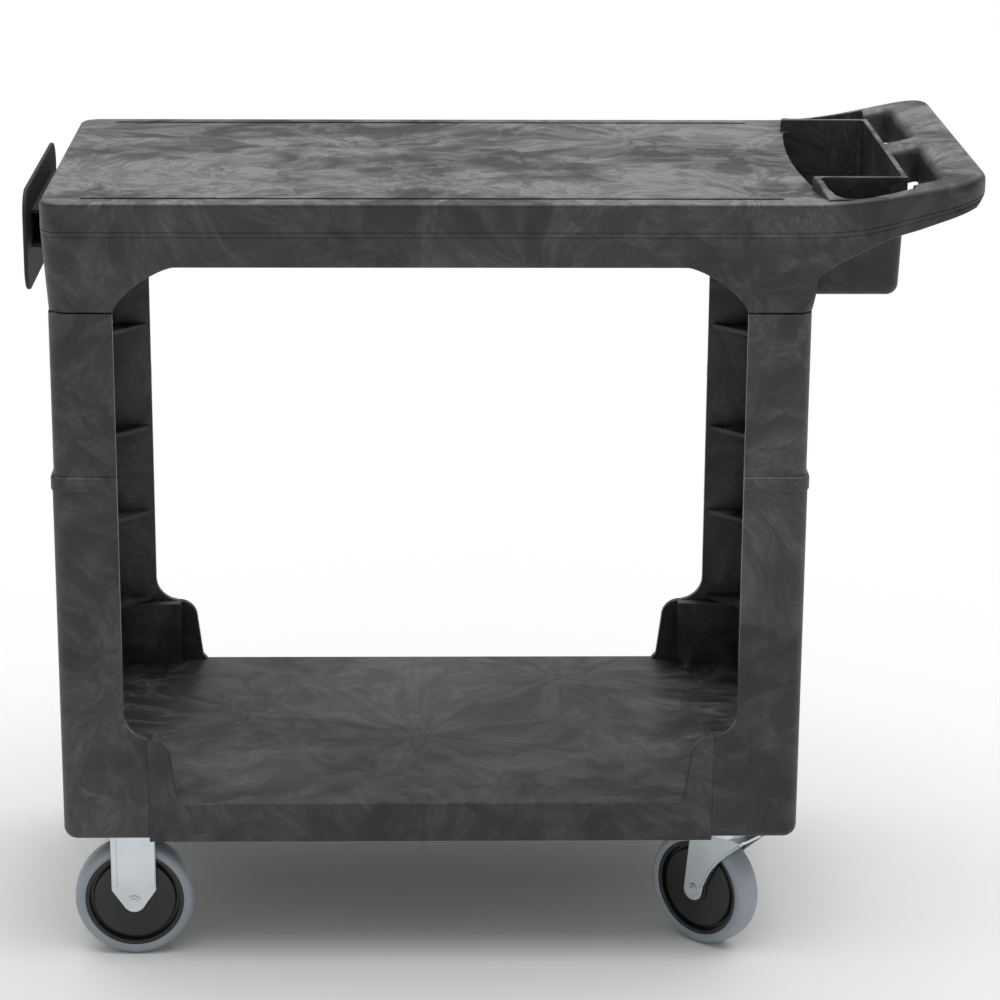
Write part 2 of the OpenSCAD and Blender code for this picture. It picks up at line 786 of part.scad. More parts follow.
module tyre_front_left() { at_rigid(-1) tyre(); }
module wheel_core_front_left() { at_rigid(-1) wheel_core(); }
module wheel_bush_front_left() { at_rigid(-1) wheel_bush(); }
module tyre_back_left() { at_rigid(1) tyre(); }
module wheel_core_back_left() { at_rigid(1) wheel_core(); }
module wheel_bush_back_left() { at_rigid(1) wheel_bush(); }
module tyre_front_right() { at_swivel_wheel(-1) tyre(); }
module wheel_core_front_right() { at_swivel_wheel(-1) wheel_core(); }
module wheel_bush_front_right() { at_swivel_wheel(-1) wheel_bush(); }
module tyre_back_right() { at_swivel_wheel(1) tyre(); }
module wheel_core_back_right() { at_swivel_wheel(1) wheel_core(); }
module wheel_bush_back_right() { at_swivel_wheel(1) wheel_bush(); }

top_shelf();
top_apron();
handle_end();
bottom_shelf();
leg_front_left();
leg_front_right();
leg_back_left();
leg_back_right();
cord_wrap();
cord_wrap_screws();
screws_front_left();
screws_front_right();
screws_back_left();
screws_back_right();
rigid_fork_front();
rigid_axle_front();
rigid_nut_front();
rigid_sleeve_front();
rigid_fork_back();
rigid_axle_back();
rigid_nut_back();
rigid_sleeve_back();
swivel_plate_front();
kingpin_front();
race_balls_front();
swivel_fork_front();
swivel_axle_front();
swivel_nut_front();
swivel_sleeve_front();
swivel_plate_back();
kingpin_back();
race_balls_back();
swivel_fork_back();
swivel_axle_back();
swivel_nut_back();
swivel_sleeve_back();
tyre_front_left();
wheel_core_front_left();
wheel_bush_front_left();
tyre_front_right();
wheel_core_front_right();
wheel_bush_front_right();
tyre_back_left();
wheel_core_back_left();
wheel_bush_back_left();
tyre_back_right();
wheel_core_back_right();
wheel_bush_back_right();
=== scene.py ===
"""Two-shelf service trolley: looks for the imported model, laid out as an add-on."""

import json
import math

import bmesh
import bpy
from bpy.props import FloatProperty, FloatVectorProperty, IntProperty, PointerProperty
from mathutils import Matrix, Vector


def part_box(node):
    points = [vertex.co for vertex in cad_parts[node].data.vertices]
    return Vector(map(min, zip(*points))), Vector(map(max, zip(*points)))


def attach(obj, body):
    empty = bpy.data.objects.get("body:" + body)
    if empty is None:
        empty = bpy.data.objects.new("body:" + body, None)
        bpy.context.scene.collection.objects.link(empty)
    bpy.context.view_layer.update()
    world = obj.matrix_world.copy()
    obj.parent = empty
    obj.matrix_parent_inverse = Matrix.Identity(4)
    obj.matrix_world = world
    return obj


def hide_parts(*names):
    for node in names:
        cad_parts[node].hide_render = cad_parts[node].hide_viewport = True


bl_info = {
    "name": "Service Trolley",
    "version": (1, 0, 0),
    "blender": (4, 5, 0),
    "location": "View3D > Sidebar > Trolley",
    "description": "Builds a moulded two-shelf service trolley around its packed frame",
    "category": "Add Mesh",
}

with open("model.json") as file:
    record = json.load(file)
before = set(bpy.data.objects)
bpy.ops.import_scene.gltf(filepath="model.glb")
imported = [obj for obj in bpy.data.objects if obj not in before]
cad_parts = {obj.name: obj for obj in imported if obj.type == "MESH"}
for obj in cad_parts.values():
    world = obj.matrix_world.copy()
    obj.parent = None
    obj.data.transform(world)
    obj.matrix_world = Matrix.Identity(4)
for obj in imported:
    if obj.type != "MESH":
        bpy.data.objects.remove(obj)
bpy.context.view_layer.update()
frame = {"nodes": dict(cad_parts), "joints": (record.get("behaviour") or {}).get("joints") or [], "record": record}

# ------------------------------------------------------------------ places from the frame

SHELF_LO, SHELF_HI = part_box("top_shelf")
LOWER_LO, LOWER_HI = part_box("bottom_shelf")
WRAP_LO, WRAP_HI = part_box("cord_wrap")
MID_X = (LOWER_LO.x + LOWER_HI.x) / 2
HALF_L = (LOWER_HI.x - LOWER_LO.x) / 2
HALF_W = (LOWER_HI.y - LOWER_LO.y) / 2
RIM_X = MID_X - SHELF_LO.x
RIM_W = SHELF_HI.y
HANDLE_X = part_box("handle_end")[1].x - MID_X
DECK_Z = frame["record"]["mounts"][0]["pos_m"][2]
LOWER_Z = frame["record"]["mounts"][1]["pos_m"][2]
SKIRT_Z = LOWER_LO.z
STUB_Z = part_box("top_apron")[0].z
JOINTS = {j["name"]: j for j in frame["joints"]}


# ------------------------------------------------------------------------------- settings

class TrolleySizes(bpy.types.PropertyGroup):
    """Sizes of the mouldings and the casters."""

    wall: FloatProperty(
        name="Wall", description="Thickness of the moulded walls", default=0.007, unit="LENGTH")
    rim_round: FloatProperty(
        name="Rim Round", description="Radius of the rim's upper edge", default=0.0048,
        unit="LENGTH")
    grip_round: FloatProperty(
        name="Grip Round", description="Radius of the upper edge round the handle", default=0.011,
        unit="LENGTH")
    corner_round: FloatProperty(
        name="Corner Round", description="Radius of the shelf corners", default=0.022, unit="LENGTH")
    handle_round: FloatProperty(
        name="Handle Round", description="Radius of the handle corners", default=0.040,
        unit="LENGTH")
    leg_round: FloatProperty(
        name="Leg Round", description="Radius down the outer edge of each leg", default=0.014,
        unit="LENGTH")
    foot_round: FloatProperty(
        name="Foot Round", description="Radius under the outer edge of each foot", default=0.018,
        unit="LENGTH")
    edge_round: FloatProperty(
        name="Edge Round", description="Radius of the small moulded edges", default=0.0012,
        unit="LENGTH")
    leg_width: FloatProperty(
        name="Leg Width", description="Width of a leg flange", default=0.066, unit="LENGTH")
    foot_width: FloatProperty(
        name="Foot Width", description="Width of a leg flange at its foot", default=0.0895,
        unit="LENGTH")
    wheel_steps: IntProperty(
        name="Wheel Steps", description="Segments around a wheel", default=96, min=24)


class TrolleyColours(bpy.types.PropertyGroup):
    """Base colours of the finishes."""

    foam_dark: FloatVectorProperty(
        name="Foam Dark", description="Darkest tone of the marbled moulding", subtype="COLOR",
        size=3, default=(0.0085, 0.0085, 0.0098))
    # The light streak colour is reached mostly on faces that look up, where painted top light strengthens the
    # marks; the other faces stay nearer the dark tone.
    foam_light: FloatVectorProperty(
        name="Foam Light", description="Lightest streak of the marbled moulding",
        subtype="COLOR", size=3, default=(0.200, 0.202, 0.214))
    tread: FloatVectorProperty(
        name="Tread", description="Grey of the tyres", subtype="COLOR", size=3,
        default=(0.255, 0.290, 0.320))
    hub: FloatVectorProperty(
        name="Hub", description="Black of the wheel hubs", subtype="COLOR", size=3,
        default=(0.010, 0.010, 0.011))
    zinc: FloatVectorProperty(
        name="Zinc", description="Zinc plating of the caster steel", subtype="COLOR", size=3,
        default=(0.62, 0.66, 0.68))
    plate: FloatVectorProperty(
        name="Cord Plate", description="Smooth plastic of the cord wrap", subtype="COLOR",
        size=3, default=(0.018, 0.020, 0.021))
    acetal: FloatVectorProperty(
        name="Acetal", description="Bushes inside the wheels", subtype="COLOR", size=3,
        default=(0.60, 0.56, 0.46))
    floor: FloatVectorProperty(
        name="Floor", description="Floor of the stage", subtype="COLOR", size=3,
        default=(0.86, 0.86, 0.86))


class TrolleyStage(bpy.types.PropertyGroup):
    """Camera and light of the stage, measured from the middle of the legs."""

    camera_place: FloatVectorProperty(
        name="Camera", description="Camera place, from the floor under the middle of the legs",
        subtype="TRANSLATION", size=3, unit="LENGTH", default=(-0.0103, -3.4224, 1.4910))
    pan: FloatProperty(
        name="Pan", description="Camera turn towards the handle", subtype="ANGLE",
        default=math.radians(1.435))
    tilt: FloatProperty(
        name="Tilt", description="Camera tilt below the horizon", subtype="ANGLE",
        default=math.radians(17.022))
    roll: FloatProperty(
        name="Roll", description="Camera roll", subtype="ANGLE", default=math.radians(0.363))
    lens: FloatProperty(
        name="Lens", description="Focal length in millimetres on a 36 mm sensor",
        default=118.9)
    sky: FloatProperty(
        name="Sky", description="Strength of the even surrounding light", default=0.52)
    key: FloatProperty(
        name="Key", description="Strength of the soft light from above", default=2.1)


# ------------------------------------------------------------------------ modelling tools

def object_mode():
    """Leaves edit mode and deselects everything."""
    if bpy.context.object and bpy.context.object.mode != "OBJECT":
        bpy.ops.object.mode_set(mode="OBJECT")
    bpy.ops.object.select_all(action="DESELECT")


def edit(obj, mode="EDGE"):
    """Opens one object in edit mode with nothing selected."""
    object_mode()
    obj.select_set(True)
    bpy.context.view_layer.objects.active = obj
    bpy.ops.object.mode_set(mode="EDIT")
    bpy.ops.mesh.select_mode(type=mode)
    bpy.ops.mesh.select_all(action="DESELECT")


def pick_edges(obj, test):
    """Selects the edges whose end points and face normals pass the test, in edit mode."""
    bm = bmesh.from_edit_mesh(obj.data)
    for e in bm.edges:
        if test(e.verts[0].co, e.verts[1].co, [f.normal for f in e.link_faces]):
            e.select_set(True)
    bm.select_flush_mode()
    bmesh.update_edit_mesh(obj.data)


def pick_faces(obj, test):
    """Selects the faces whose centre and normal pass the test, in edit mode."""
    bm = bmesh.from_edit_mesh(obj.data)
    for f in bm.faces:
        if test(f.calc_center_median(), f.normal):
            f.select_set(True)
    bm.select_flush_mode()
    bmesh.update_edit_mesh(obj.data)


def round_edges(obj, test, radius, segments=4):
    """Bevels the edges that pass the test."""
    edit(obj)
    pick_edges(obj, test)
    bpy.ops.mesh.bevel(offset=radius, segments=segments, profile=0.5, affect="EDGES",
                       clamp_overlap=True)
    object_mode()


def is_along(a, b, axis):
    """True for an edge that runs along one axis (0, 1 or 2)."""
    d = (b - a).normalized()
    return abs(d[axis]) > 0.999


def is_corner(normals, angle=30):
    """True for an edge whose two faces meet at more than an angle in degrees."""
    return len(normals) == 2 and normals[0].angle(normals[1], 0) > math.radians(angle)


def block(name, lo, hi):
    """A box between two corners."""
    object_mode()
    lo, hi = Vector(lo), Vector(hi)
    bpy.ops.mesh.primitive_cube_add(size=1, location=(lo + hi) / 2, scale=hi - lo)
    obj = bpy.context.object
    obj.name = name
    bpy.ops.object.transform_apply(location=True, rotation=True, scale=True)
    return obj


def prism(name, points, axis, lo, hi):
    """A solid drawn as an outline, point by point, and extruded along an axis.

    The points of an outline across "Y" are (x, z), along "X" (y, z), and up "Z" (x, y).
    """
    place = {"X": lambda p, h: Vector((h, p[0], p[1])), "Y": lambda p, h: Vector((p[0], h, p[1])),
             "Z": lambda p, h: Vector((p[0], p[1], h))}[axis]
    object_mode()
    bpy.ops.mesh.primitive_plane_add(size=0.01, location=place(points[0], lo))
    obj = bpy.context.object
    obj.name = name
    bpy.ops.object.transform_apply(location=True, rotation=True, scale=True)
    bpy.ops.object.mode_set(mode="EDIT")
    bpy.ops.mesh.select_mode(type="VERT")
    bpy.ops.mesh.select_all(action="SELECT")
    bpy.ops.mesh.merge(type="CENTER")
    for a, b in zip(points, points[1:]):
        step = place(b, lo) - place(a, lo)
        bpy.ops.mesh.extrude_vertices_move(TRANSFORM_OT_translate={"value": step})
    bpy.ops.mesh.select_all(action="SELECT")
    bpy.ops.mesh.edge_face_add()
    bpy.ops.mesh.extrude_region_move(
        TRANSFORM_OT_translate={"value": place(points[0], hi) - place(points[0], lo)})
    bpy.ops.mesh.select_all(action="SELECT")
    bpy.ops.mesh.normals_make_consistent(inside=False)
    object_mode()
    return obj


def arc(centre, radius, start, end, steps):
    """Points of an arc, in degrees."""
    turn = [math.radians(start + (end - start) * i / steps) for i in range(steps + 1)]
    return [(centre[0] + radius * math.cos(t), centre[1] + radius * math.sin(t)) for t in turn]


def modify(obj, kind, **values):
    """Adds a modifier, sets its values and applies it."""
    object_mode()
    obj.select_set(True)
    bpy.context.view_layer.objects.active = obj
    mod = obj.modifiers.new(kind.title(), kind)
    for key, value in values.items():
        setattr(mod, key, value)
    bpy.ops.object.modifier_apply(modifier=mod.name)


def combine(obj, tool, operation="DIFFERENCE", keep=False):
    """Joins or cuts obj with tool, which is used up."""
    modify(obj, "BOOLEAN", operation=operation, object=tool, solver="EXACT")
    if not keep:
        bpy.data.objects.remove(tool, do_unlink=True)
    return obj


def copy_of(obj, name):
    """A copy with its own mesh."""
    object_mode()
    obj.select_set(True)
    bpy.context.view_layer.objects.active = obj
    bpy.ops.object.duplicate(linked=False)
    new = bpy.context.object
    new.name = name
    object_mode()
    return new


def mirrored(obj, name, centre, axis):
    """A mirror copy about a plane through centre, with its faces turned the right way."""
    new = copy_of(obj, name)
    edit(new)
    bpy.ops.mesh.select_all(action="SELECT")
    bpy.ops.transform.mirror(constraint_axis=tuple(i == axis for i in range(3)),
                             center_override=centre)
    bpy.ops.mesh.normals_make_consistent(inside=False)
    object_mode()
    return new


def move_mesh(obj, offset):
    """Moves all of a mesh while its object stays at the origin."""
    edit(obj)
    bpy.ops.mesh.select_all(action="SELECT")
    bpy.ops.transform.translate(value=offset)
    object_mode()


def turn_mesh(obj, angle, axis, centre):
    """Turns all of a mesh about a point while its object stays at the origin."""
    edit(obj)
    bpy.ops.mesh.select_all(action="SELECT")
    bpy.ops.transform.rotate(value=-angle, orient_axis=axis, center_override=centre)
    object_mode()


def clean(obj):
    """Merges doubles, clears loose bits and turns the faces outward."""
    edit(obj)
    bpy.ops.mesh.select_all(action="SELECT")
    bpy.ops.mesh.remove_doubles(threshold=0.00002)
    bpy.ops.mesh.select_all(action="SELECT")
    bpy.ops.mesh.dissolve_degenerate(threshold=0.00001)
    bpy.ops.mesh.delete_loose()
    bpy.ops.mesh.select_all(action="SELECT")
    bpy.ops.mesh.normals_make_consistent(inside=False)
    object_mode()


def soften(obj, width, segments=2, angle=35):
    """Rounds the sharp edges and shades the piece smooth."""
    modify(obj, "BEVEL", width=width, segments=segments, limit_method="ANGLE",
           angle_limit=math.radians(angle), use_clamp_overlap=True, miter_outer="MITER_ARC")
    shade(obj)


def shade(obj, angle=35):
    """Smooth shading up to an angle, with flat faces kept flat."""
    object_mode()
    obj.select_set(True)
    bpy.context.view_layer.objects.active = obj
    bpy.ops.object.shade_smooth_by_angle(angle=math.radians(angle))
    modify(obj, "WEIGHTED_NORMAL", keep_sharp=True, weight=80)


def finish_piece(obj, body, slot, material, *nodes):
    """Gives a piece its material and its body, and hides the CAD nodes it stands for; slot is not used."""
    obj.data.materials.clear()
    obj.data.materials.append(material)
    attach(obj, body)
    if nodes:
        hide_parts(*nodes)


# --------------------------------------------------------------------------------- finishes

def link(tree, a, b):
    tree.links.new(a, b)


def group_inputs(group, sockets):
    """Makes the input sockets of a node group: name to (type, default)."""
    for name, (kind, value) in sockets.items():
        s = group.interface.new_socket(name=name, in_out="INPUT", socket_type=kind)
        if value is not None:
            s.default_value = value


def math_node(tree, operation, a, b=None, clamp=False):
    """A Math node on sockets or numbers."""
    n = tree.nodes.new("ShaderNodeMath")
    n.operation = operation
    n.use_clamp = clamp
    for i, v in enumerate((a, b)):
        if v is None:
            continue
        if isinstance(v, (int, float)):
            n.inputs[i].default_value = v
        else:
            link(tree, v, n.inputs[i])
    return n.outputs[0]


def noise(tree, vector, scale, detail=4.0, rough=0.55, distortion=0.0):
    n = tree.nodes.new("ShaderNodeTexNoise")
    link(tree, vector, n.inputs["Vector"])
    for key, value in (("Scale", scale), ("Detail", detail), ("Roughness", rough),
                       ("Distortion", distortion)):
        n.inputs[key].default_value = value
    return n


def stretch(tree, vector, scale, place=(0, 0, 0)):
    """A Mapping node that stretches and moves a pattern."""
    n = tree.nodes.new("ShaderNodeMapping")
    link(tree, vector, n.inputs["Vector"])
    n.inputs["Scale"].default_value = scale
    n.inputs["Location"].default_value = place
    return n.outputs["Vector"]


def ramp(tree, value, low, high):
    """A smooth step between two values."""
    n = tree.nodes.new("ShaderNodeMapRange")
    n.interpolation_type = "SMOOTHSTEP"
    link(tree, value, n.inputs["Value"])
    n.inputs["From Min"].default_value = low
    n.inputs["From Max"].default_value = high
    return n.outputs["Result"]


def vector_math(tree, operation, a, b=None, scale=None):
    """A Vector Math node on sockets or constant vectors."""
    n = tree.nodes.new("ShaderNodeVectorMath")
    n.operation = operation
    for i, v in enumerate((a, b)):
        if isinstance(v, tuple):
            n.inputs[i].default_value = v
        elif v is not None:
            link(tree, v, n.inputs[i])
    if scale is not None:
        n.inputs["Scale"].default_value = scale
    return n.outputs["Vector"]


def swirl_group():
    """Flow marks of foamed plastic: soft patches, and fibres that fan out of hidden gates."""
    g = bpy.data.node_groups.new("foam_swirl", "ShaderNodeTree")
    group_inputs(g, {"Vector": ("NodeSocketVector", None)})
    for name in ("Streak", "Fibre", "Height"):
        g.interface.new_socket(name=name, in_out="OUTPUT", socket_type="NodeSocketFloat")
    gin = g.nodes.new("NodeGroupInput")
    gout = g.nodes.new("NodeGroupOutput")
    p = gin.outputs["Vector"]
    bend = noise(g, p, 7.0, 2.0, 0.5)
    flow = vector_math(g, "ADD", p, vector_math(g, "SCALE", bend.outputs["Color"], scale=0.10))
    gates = g.nodes.new("ShaderNodeTexVoronoi")
    gates.inputs["Scale"].default_value = 5.2
    link(g, flow, gates.inputs["Vector"])
    away = vector_math(g, "SUBTRACT", flow, gates.outputs["Position"])
    ray = vector_math(g, "NORMALIZE", away)
    fan_place = vector_math(g, "ADD", vector_math(g, "SCALE", ray, scale=2.6),
                            vector_math(g, "SCALE", away, scale=5.0))
    hair_place = vector_math(g, "ADD", vector_math(g, "SCALE", ray, scale=13.0),
                             vector_math(g, "SCALE", away, scale=16.0))
    fans = noise(g, fan_place, 1.0, 4.0, 0.6, 0.5)
    hairs = noise(g, hair_place, 1.0, 4.0, 0.68, 0.5)
    patches = noise(g, stretch(g, flow, (3.0, 4.6, 4.6)), 1.5, 4.0, 0.55, 0.4)
    fan = ramp(g, fans.outputs["Fac"], 0.40, 0.64)
    patch = ramp(g, patches.outputs["Fac"], 0.42, 0.62)
    hair = ramp(g, hairs.outputs["Fac"], 0.36, 0.66)
    tone = math_node(g, "ADD", math_node(g, "MULTIPLY", fan, 0.48),
                     math_node(g, "MULTIPLY", patch, 0.52), clamp=True)
    streak = math_node(g, "MULTIPLY", tone,
                       math_node(g, "ADD", math_node(g, "MULTIPLY", hair, 0.70), 0.45), clamp=True)
    height = math_node(g, "ADD", math_node(g, "MULTIPLY", hair, 0.5), streak)
    link(g, streak, gout.inputs["Streak"])
    link(g, hair, gout.inputs["Fibre"])
    link(g, height, gout.inputs["Height"])
    return g


def grain_group():
    """Fine grain of a moulded or plated surface, with slow cloudy patches."""
    g = bpy.data.node_groups.new("fine_grain", "ShaderNodeTree")
    group_inputs(g, {"Vector": ("NodeSocketVector", None),
                     "Scale": ("NodeSocketFloat", 400.0)})
    for name in ("Grain", "Patch"):
        g.interface.new_socket(name=name, in_out="OUTPUT", socket_type="NodeSocketFloat")
    gin = g.nodes.new("NodeGroupInput")
    gout = g.nodes.new("NodeGroupOutput")
    grain = noise(g, gin.outputs["Vector"], 400.0, 3.0, 0.6)
    link(g, gin.outputs["Scale"], grain.inputs["Scale"])
    patch = noise(g, gin.outputs["Vector"], 14.0, 3.0, 0.55)
    link(g, grain.outputs["Fac"], gout.inputs["Grain"])
    link(g, ramp(g, patch.outputs["Fac"], 0.35, 0.65), gout.inputs["Patch"])
    return g


def use_group(tree, name):
    n = tree.nodes.new("ShaderNodeGroup")
    n.node_tree = bpy.data.node_groups[name]
    return n


def new_material(name):
    """An empty material with its shader and object coordinates."""
    mat = bpy.data.materials.new(name)
    mat.use_nodes = True
    tree = mat.node_tree
    shader = tree.nodes["Principled BSDF"]
    coord = tree.nodes.new("ShaderNodeTexCoord").outputs["Object"]
    return mat, tree, shader, coord


def mix_colour(tree, factor, a, b):
    n = tree.nodes.new("ShaderNodeMix")
    n.data_type = "RGBA"
    n.clamp_factor = True
    link(tree, factor, n.inputs["Factor"])
    n.inputs["A"].default_value = (*a, 1)
    n.inputs["B"].default_value = (*b, 1)
    return n.outputs["Result"]


def bump(tree, shader, height, strength, distance):
    n = tree.nodes.new("ShaderNodeBump")
    n.inputs["Strength"].default_value = strength
    n.inputs["Distance"].default_value = distance
    link(tree, height, n.inputs["Height"])
    link(tree, n.outputs["Normal"], shader.inputs["Normal"])


def foam_material(name, turn, place, painted_top_light=1.0, quiet=0.30):
    """Marbled structural foam. turn lays the flow along the moulding, place moves it, and
    the last two numbers are the strength of the marks on the faces that look up and on the others; the stronger,
    lighter marks on the faces that look up are painted light from above."""
    colours = bpy.context.scene.trolley_colours
    mat, tree, shader, coord = new_material(name)
    mapping = tree.nodes.new("ShaderNodeMapping")
    mapping.inputs["Rotation"].default_value = turn
    mapping.inputs["Location"].default_value = place
    link(tree, coord, mapping.inputs["Vector"])
    swirl = use_group(tree, "foam_swirl")
    link(tree, mapping.outputs["Vector"], swirl.inputs["Vector"])
    grain = use_group(tree, "fine_grain")
    link(tree, coord, grain.inputs["Vector"])
    grain.inputs["Scale"].default_value = 900.0
    normal = tree.nodes.new("ShaderNodeSeparateXYZ")
    link(tree, tree.nodes.new("ShaderNodeNewGeometry").outputs["Normal"], normal.inputs["Vector"])
    # Painted light: the marks, and with them the light streak colour, grow stronger on faces that look up, as if
    # lit from above; the other faces keep the quieter marks.
    level = math_node(tree, "ADD", math_node(tree, "MULTIPLY",
                                             ramp(tree, normal.outputs["Z"], 0.5, 0.95),
                                             painted_top_light - quiet),
                      quiet)
    streak = math_node(tree, "MULTIPLY", swirl.outputs["Streak"], level)
    colour = mix_colour(tree, streak, colours.foam_dark, colours.foam_light)
    link(tree, colour, shader.inputs["Base Color"])
    rough = math_node(tree, "ADD", math_node(tree, "MULTIPLY", swirl.outputs["Fibre"], 0.10), 0.42)
    link(tree, rough, shader.inputs["Roughness"])
    height = math_node(tree, "ADD", math_node(tree, "MULTIPLY", grain.outputs["Grain"], 0.3),
                       swirl.outputs["Height"])
    bump(tree, shader, height, 0.25, 0.0004)
    shader.inputs["Specular IOR Level"].default_value = 0.5
    return mat


def grained_material(name, colour, rough, metallic=0.0, scale=600.0, depth=0.0001, vary=0.12):
    """A plain finish with fine grain in its gloss and slow patches of tone."""
    mat, tree, shader, coord = new_material(name)
    grain = use_group(tree, "fine_grain")
    link(tree, coord, grain.inputs["Vector"])
    grain.inputs["Scale"].default_value = scale
    pale = tuple(min(1.0, c * (1 + 2 * vary) + 0.004) for c in colour)
    dark = tuple(c * (1 - vary) for c in colour)
    link(tree, mix_colour(tree, grain.outputs["Patch"], dark, pale), shader.inputs["Base Color"])
    level = math_node(tree, "ADD", math_node(tree, "MULTIPLY", grain.outputs["Grain"], 0.12),
                      rough - 0.06)
    link(tree, level, shader.inputs["Roughness"])
    shader.inputs["Metallic"].default_value = metallic
    bump(tree, shader, grain.outputs["Grain"], 0.3, depth)
    return mat


class TROLLEY_OT_finishes(bpy.types.Operator):
    """Makes the shared effects and the material of each finish"""

    bl_idname = "trolley.finishes"
    bl_label = "Finishes"

    def execute(self, context):
        c = context.scene.trolley_colours
        swirl_group()
        grain_group()
        # Painted light and shade: the upper shelf gets the strongest painted top light, and the lower shelf a
        # weaker one as painted shade under the upper shelf.
        foam_material("foam_top", (0, 0, 0.05), (0.13, 0.0, 0.0), painted_top_light=1.5)
        foam_material("foam_lower", (0, 0, -0.04), (4.2, 1.3, 0.5), painted_top_light=0.6)
        foam_material("foam_leg", (0, 1.35, 0), (2.4, 3.1, 1.7))
        grained_material("cord_plastic", c.plate, 0.32)
        grained_material("zinc_steel", c.zinc, 0.30, metallic=1.0, scale=350.0, vary=0.05)
        grained_material("tyre_grey", c.tread, 0.48, scale=500.0, vary=0.05)
        grained_material("hub_black", c.hub, 0.30, scale=500.0)
        grained_material("acetal", c.acetal, 0.4)
        return {"FINISHED"}


# ------------------------------------------------------------------------------ the upper shelf
# The mouldings are drawn in millimetres about the middle of the legs at floor level, and
# brought to metres at their place in the frame when they are done.

DECK = DECK_Z * 1000
STUB = STUB_Z * 1000
LOWER = LOWER_Z * 1000
SKIRT = SKIRT_Z * 1000
LEG_X = HALF_L * 1000
LEG_Y = HALF_W * 1000
SIDE_X = RIM_X * 1000
SIDE_Y = RIM_W * 1000
TIP_X = HANDLE_X * 1000
RIM_LINE = DECK - 28
BIN_TOP = DECK + 13
POCKET_FLOOR = DECK - 23
BIN_X = 480
BIN_Y = 160
SWELL_X = (430, 515)
ARC_X = 375
ARC_R = 1270
RISE_R = 420
RISE_SLOPE = 0.22
RISE_RUN = RISE_R * math.sin(math.atan(RISE_SLOPE))


def millimetres(context):
    """The sizes of the panel, in millimetres."""
    s = context.scene.trolley_sizes
    names = ("wall", "rim_round", "grip_round", "corner_round", "handle_round", "leg_round", "foot_round",
             "edge_round", "leg_width", "foot_width")
    return {n: getattr(s, n) * 1000 for n in names}


def settle(obj, offset=(0, 0, 0), turn=0.0):
    """Brings a mesh drawn in millimetres to metres, turned about +Z and at its place."""
    edit(obj)
    bpy.ops.mesh.select_all(action="SELECT")
    bpy.ops.transform.resize(value=(0.001, 0.001, 0.001), center_override=(0, 0, 0))
    if turn:
        bpy.ops.transform.rotate(value=-turn, orient_axis="Z", center_override=(0, 0, 0))
    bpy.ops.transform.translate(value=offset)
    object_mode()


def rise(x):
    """Height of the rails above the deck."""
    d = max(0.0, x - ARC_X)
    if d < RISE_RUN:
        return RISE_R - math.sqrt(RISE_R ** 2 - d * d)
    return RISE_R * (1 - math.cos(math.atan(RISE_SLOPE))) + (d - RISE_RUN) * RISE_SLOPE


def deck_arc(inset, half, steps=12):
    """Points of the curved end of the deck, from y = half to y = -half."""
    ys = [half - 2 * half * i / steps for i in range(steps + 1)]
    return [(ARC_X + ARC_R - math.sqrt((ARC_R - inset) ** 2 - y * y), y) for y in ys]


def rounded(corners, steps=6):
    """An outline from (x, y, radius) corners."""
    out = []
    for i, (x, y, r) in enumerate(corners):
        p = Vector((x, y))
        if r <= 0:
            out.append((x, y))
            continue
        a = (Vector(corners[i - 1][:2]) - p).normalized()
        b = (Vector(corners[(i + 1) % len(corners)][:2]) - p).normalized()
        half = a.angle(b) / 2
        centre = p + (a + b).normalized() * (r / math.sin(half))
        start = p + a * (r / math.tan(half)) - centre
        end = p + b * (r / math.tan(half)) - centre
        t0 = math.atan2(start.y, start.x)
        span = (math.atan2(end.y, end.x) - t0 + math.pi) % (2 * math.pi) - math.pi
        for k in range(steps + 1):
            t = t0 + span * k / steps
            out.append((centre.x + r * math.cos(t), centre.y + r * math.sin(t)))
    return out


def side_outline():
    """Side view of the upper shelf, with the rails that sweep up to the handle."""
    end = TIP_X + 10
    lip = DECK + rise(end)
    xs = [ARC_X + RISE_RUN * i / 9 for i in range(10)] + [end]
    rails = [(x, DECK + rise(x)) for x in xs]
    under = [(TIP_X - 11, -6.0), (522.4, -12.8), (504, -19.3), (484, -26.4), (464.5, -32.4),
             (445, -40.6), (425.5, -50.7), (406, -60.9), (396, -67), (386.5, -75)]
    return ([(-SIDE_X - 10, STUB), (-SIDE_X - 10, DECK)] + rails
            + [(end, lip - 16), (TIP_X - 3.5, lip - 29)] + [(x, DECK + z) for x, z in under]
            + [(381.5, STUB)])


def shelf_plan(mm, inset=0.0):
    """Plan of the upper shelf with its round corners."""
    r0, r1 = mm["corner_round"] - inset, mm["handle_round"] - inset
    x0, x1, y = -SIDE_X + inset, TIP_X - inset, SIDE_Y - inset
    return rounded([(x0, -y, r0), (x1, -y, r1), (x1, y, r1), (x0, y, r0)], 10)


def swell_rim(form, mm):
    """Widens the rounding of the rim towards the handle, where a hand goes round it."""
    r0, r1, corner = mm["rim_round"], mm["grip_round"], mm["handle_round"]
    for v in form.data.vertices:
        x, y, z = v.co
        side = math.copysign(1, y)
        centre = Vector((min(x, TIP_X - corner), side * min(abs(y), SIDE_Y - corner)))
        out = Vector((x, y)) - centre
        if x < TIP_X - corner:
            centre.y, out = side * (SIDE_Y - corner), Vector((0, y - side * (SIDE_Y - corner)))
        inward = max(0.0, corner - out.length)
        down = DECK + rise(x) - z
        if x < SWELL_X[0] or inward > r0 + 0.1 or down > r0 + 0.1 or out.length < 1:
            continue
        t = min(1.0, (x - SWELL_X[0]) / (SWELL_X[1] - SWELL_X[0]))
        grow = 1 + (r1 / r0 - 1) * t * t * (3 - 2 * t)
        edge = centre + out.normalized() * (corner - inward * grow)
        v.co = (edge.x, edge.y, DECK + rise(edge.x) - down * grow)


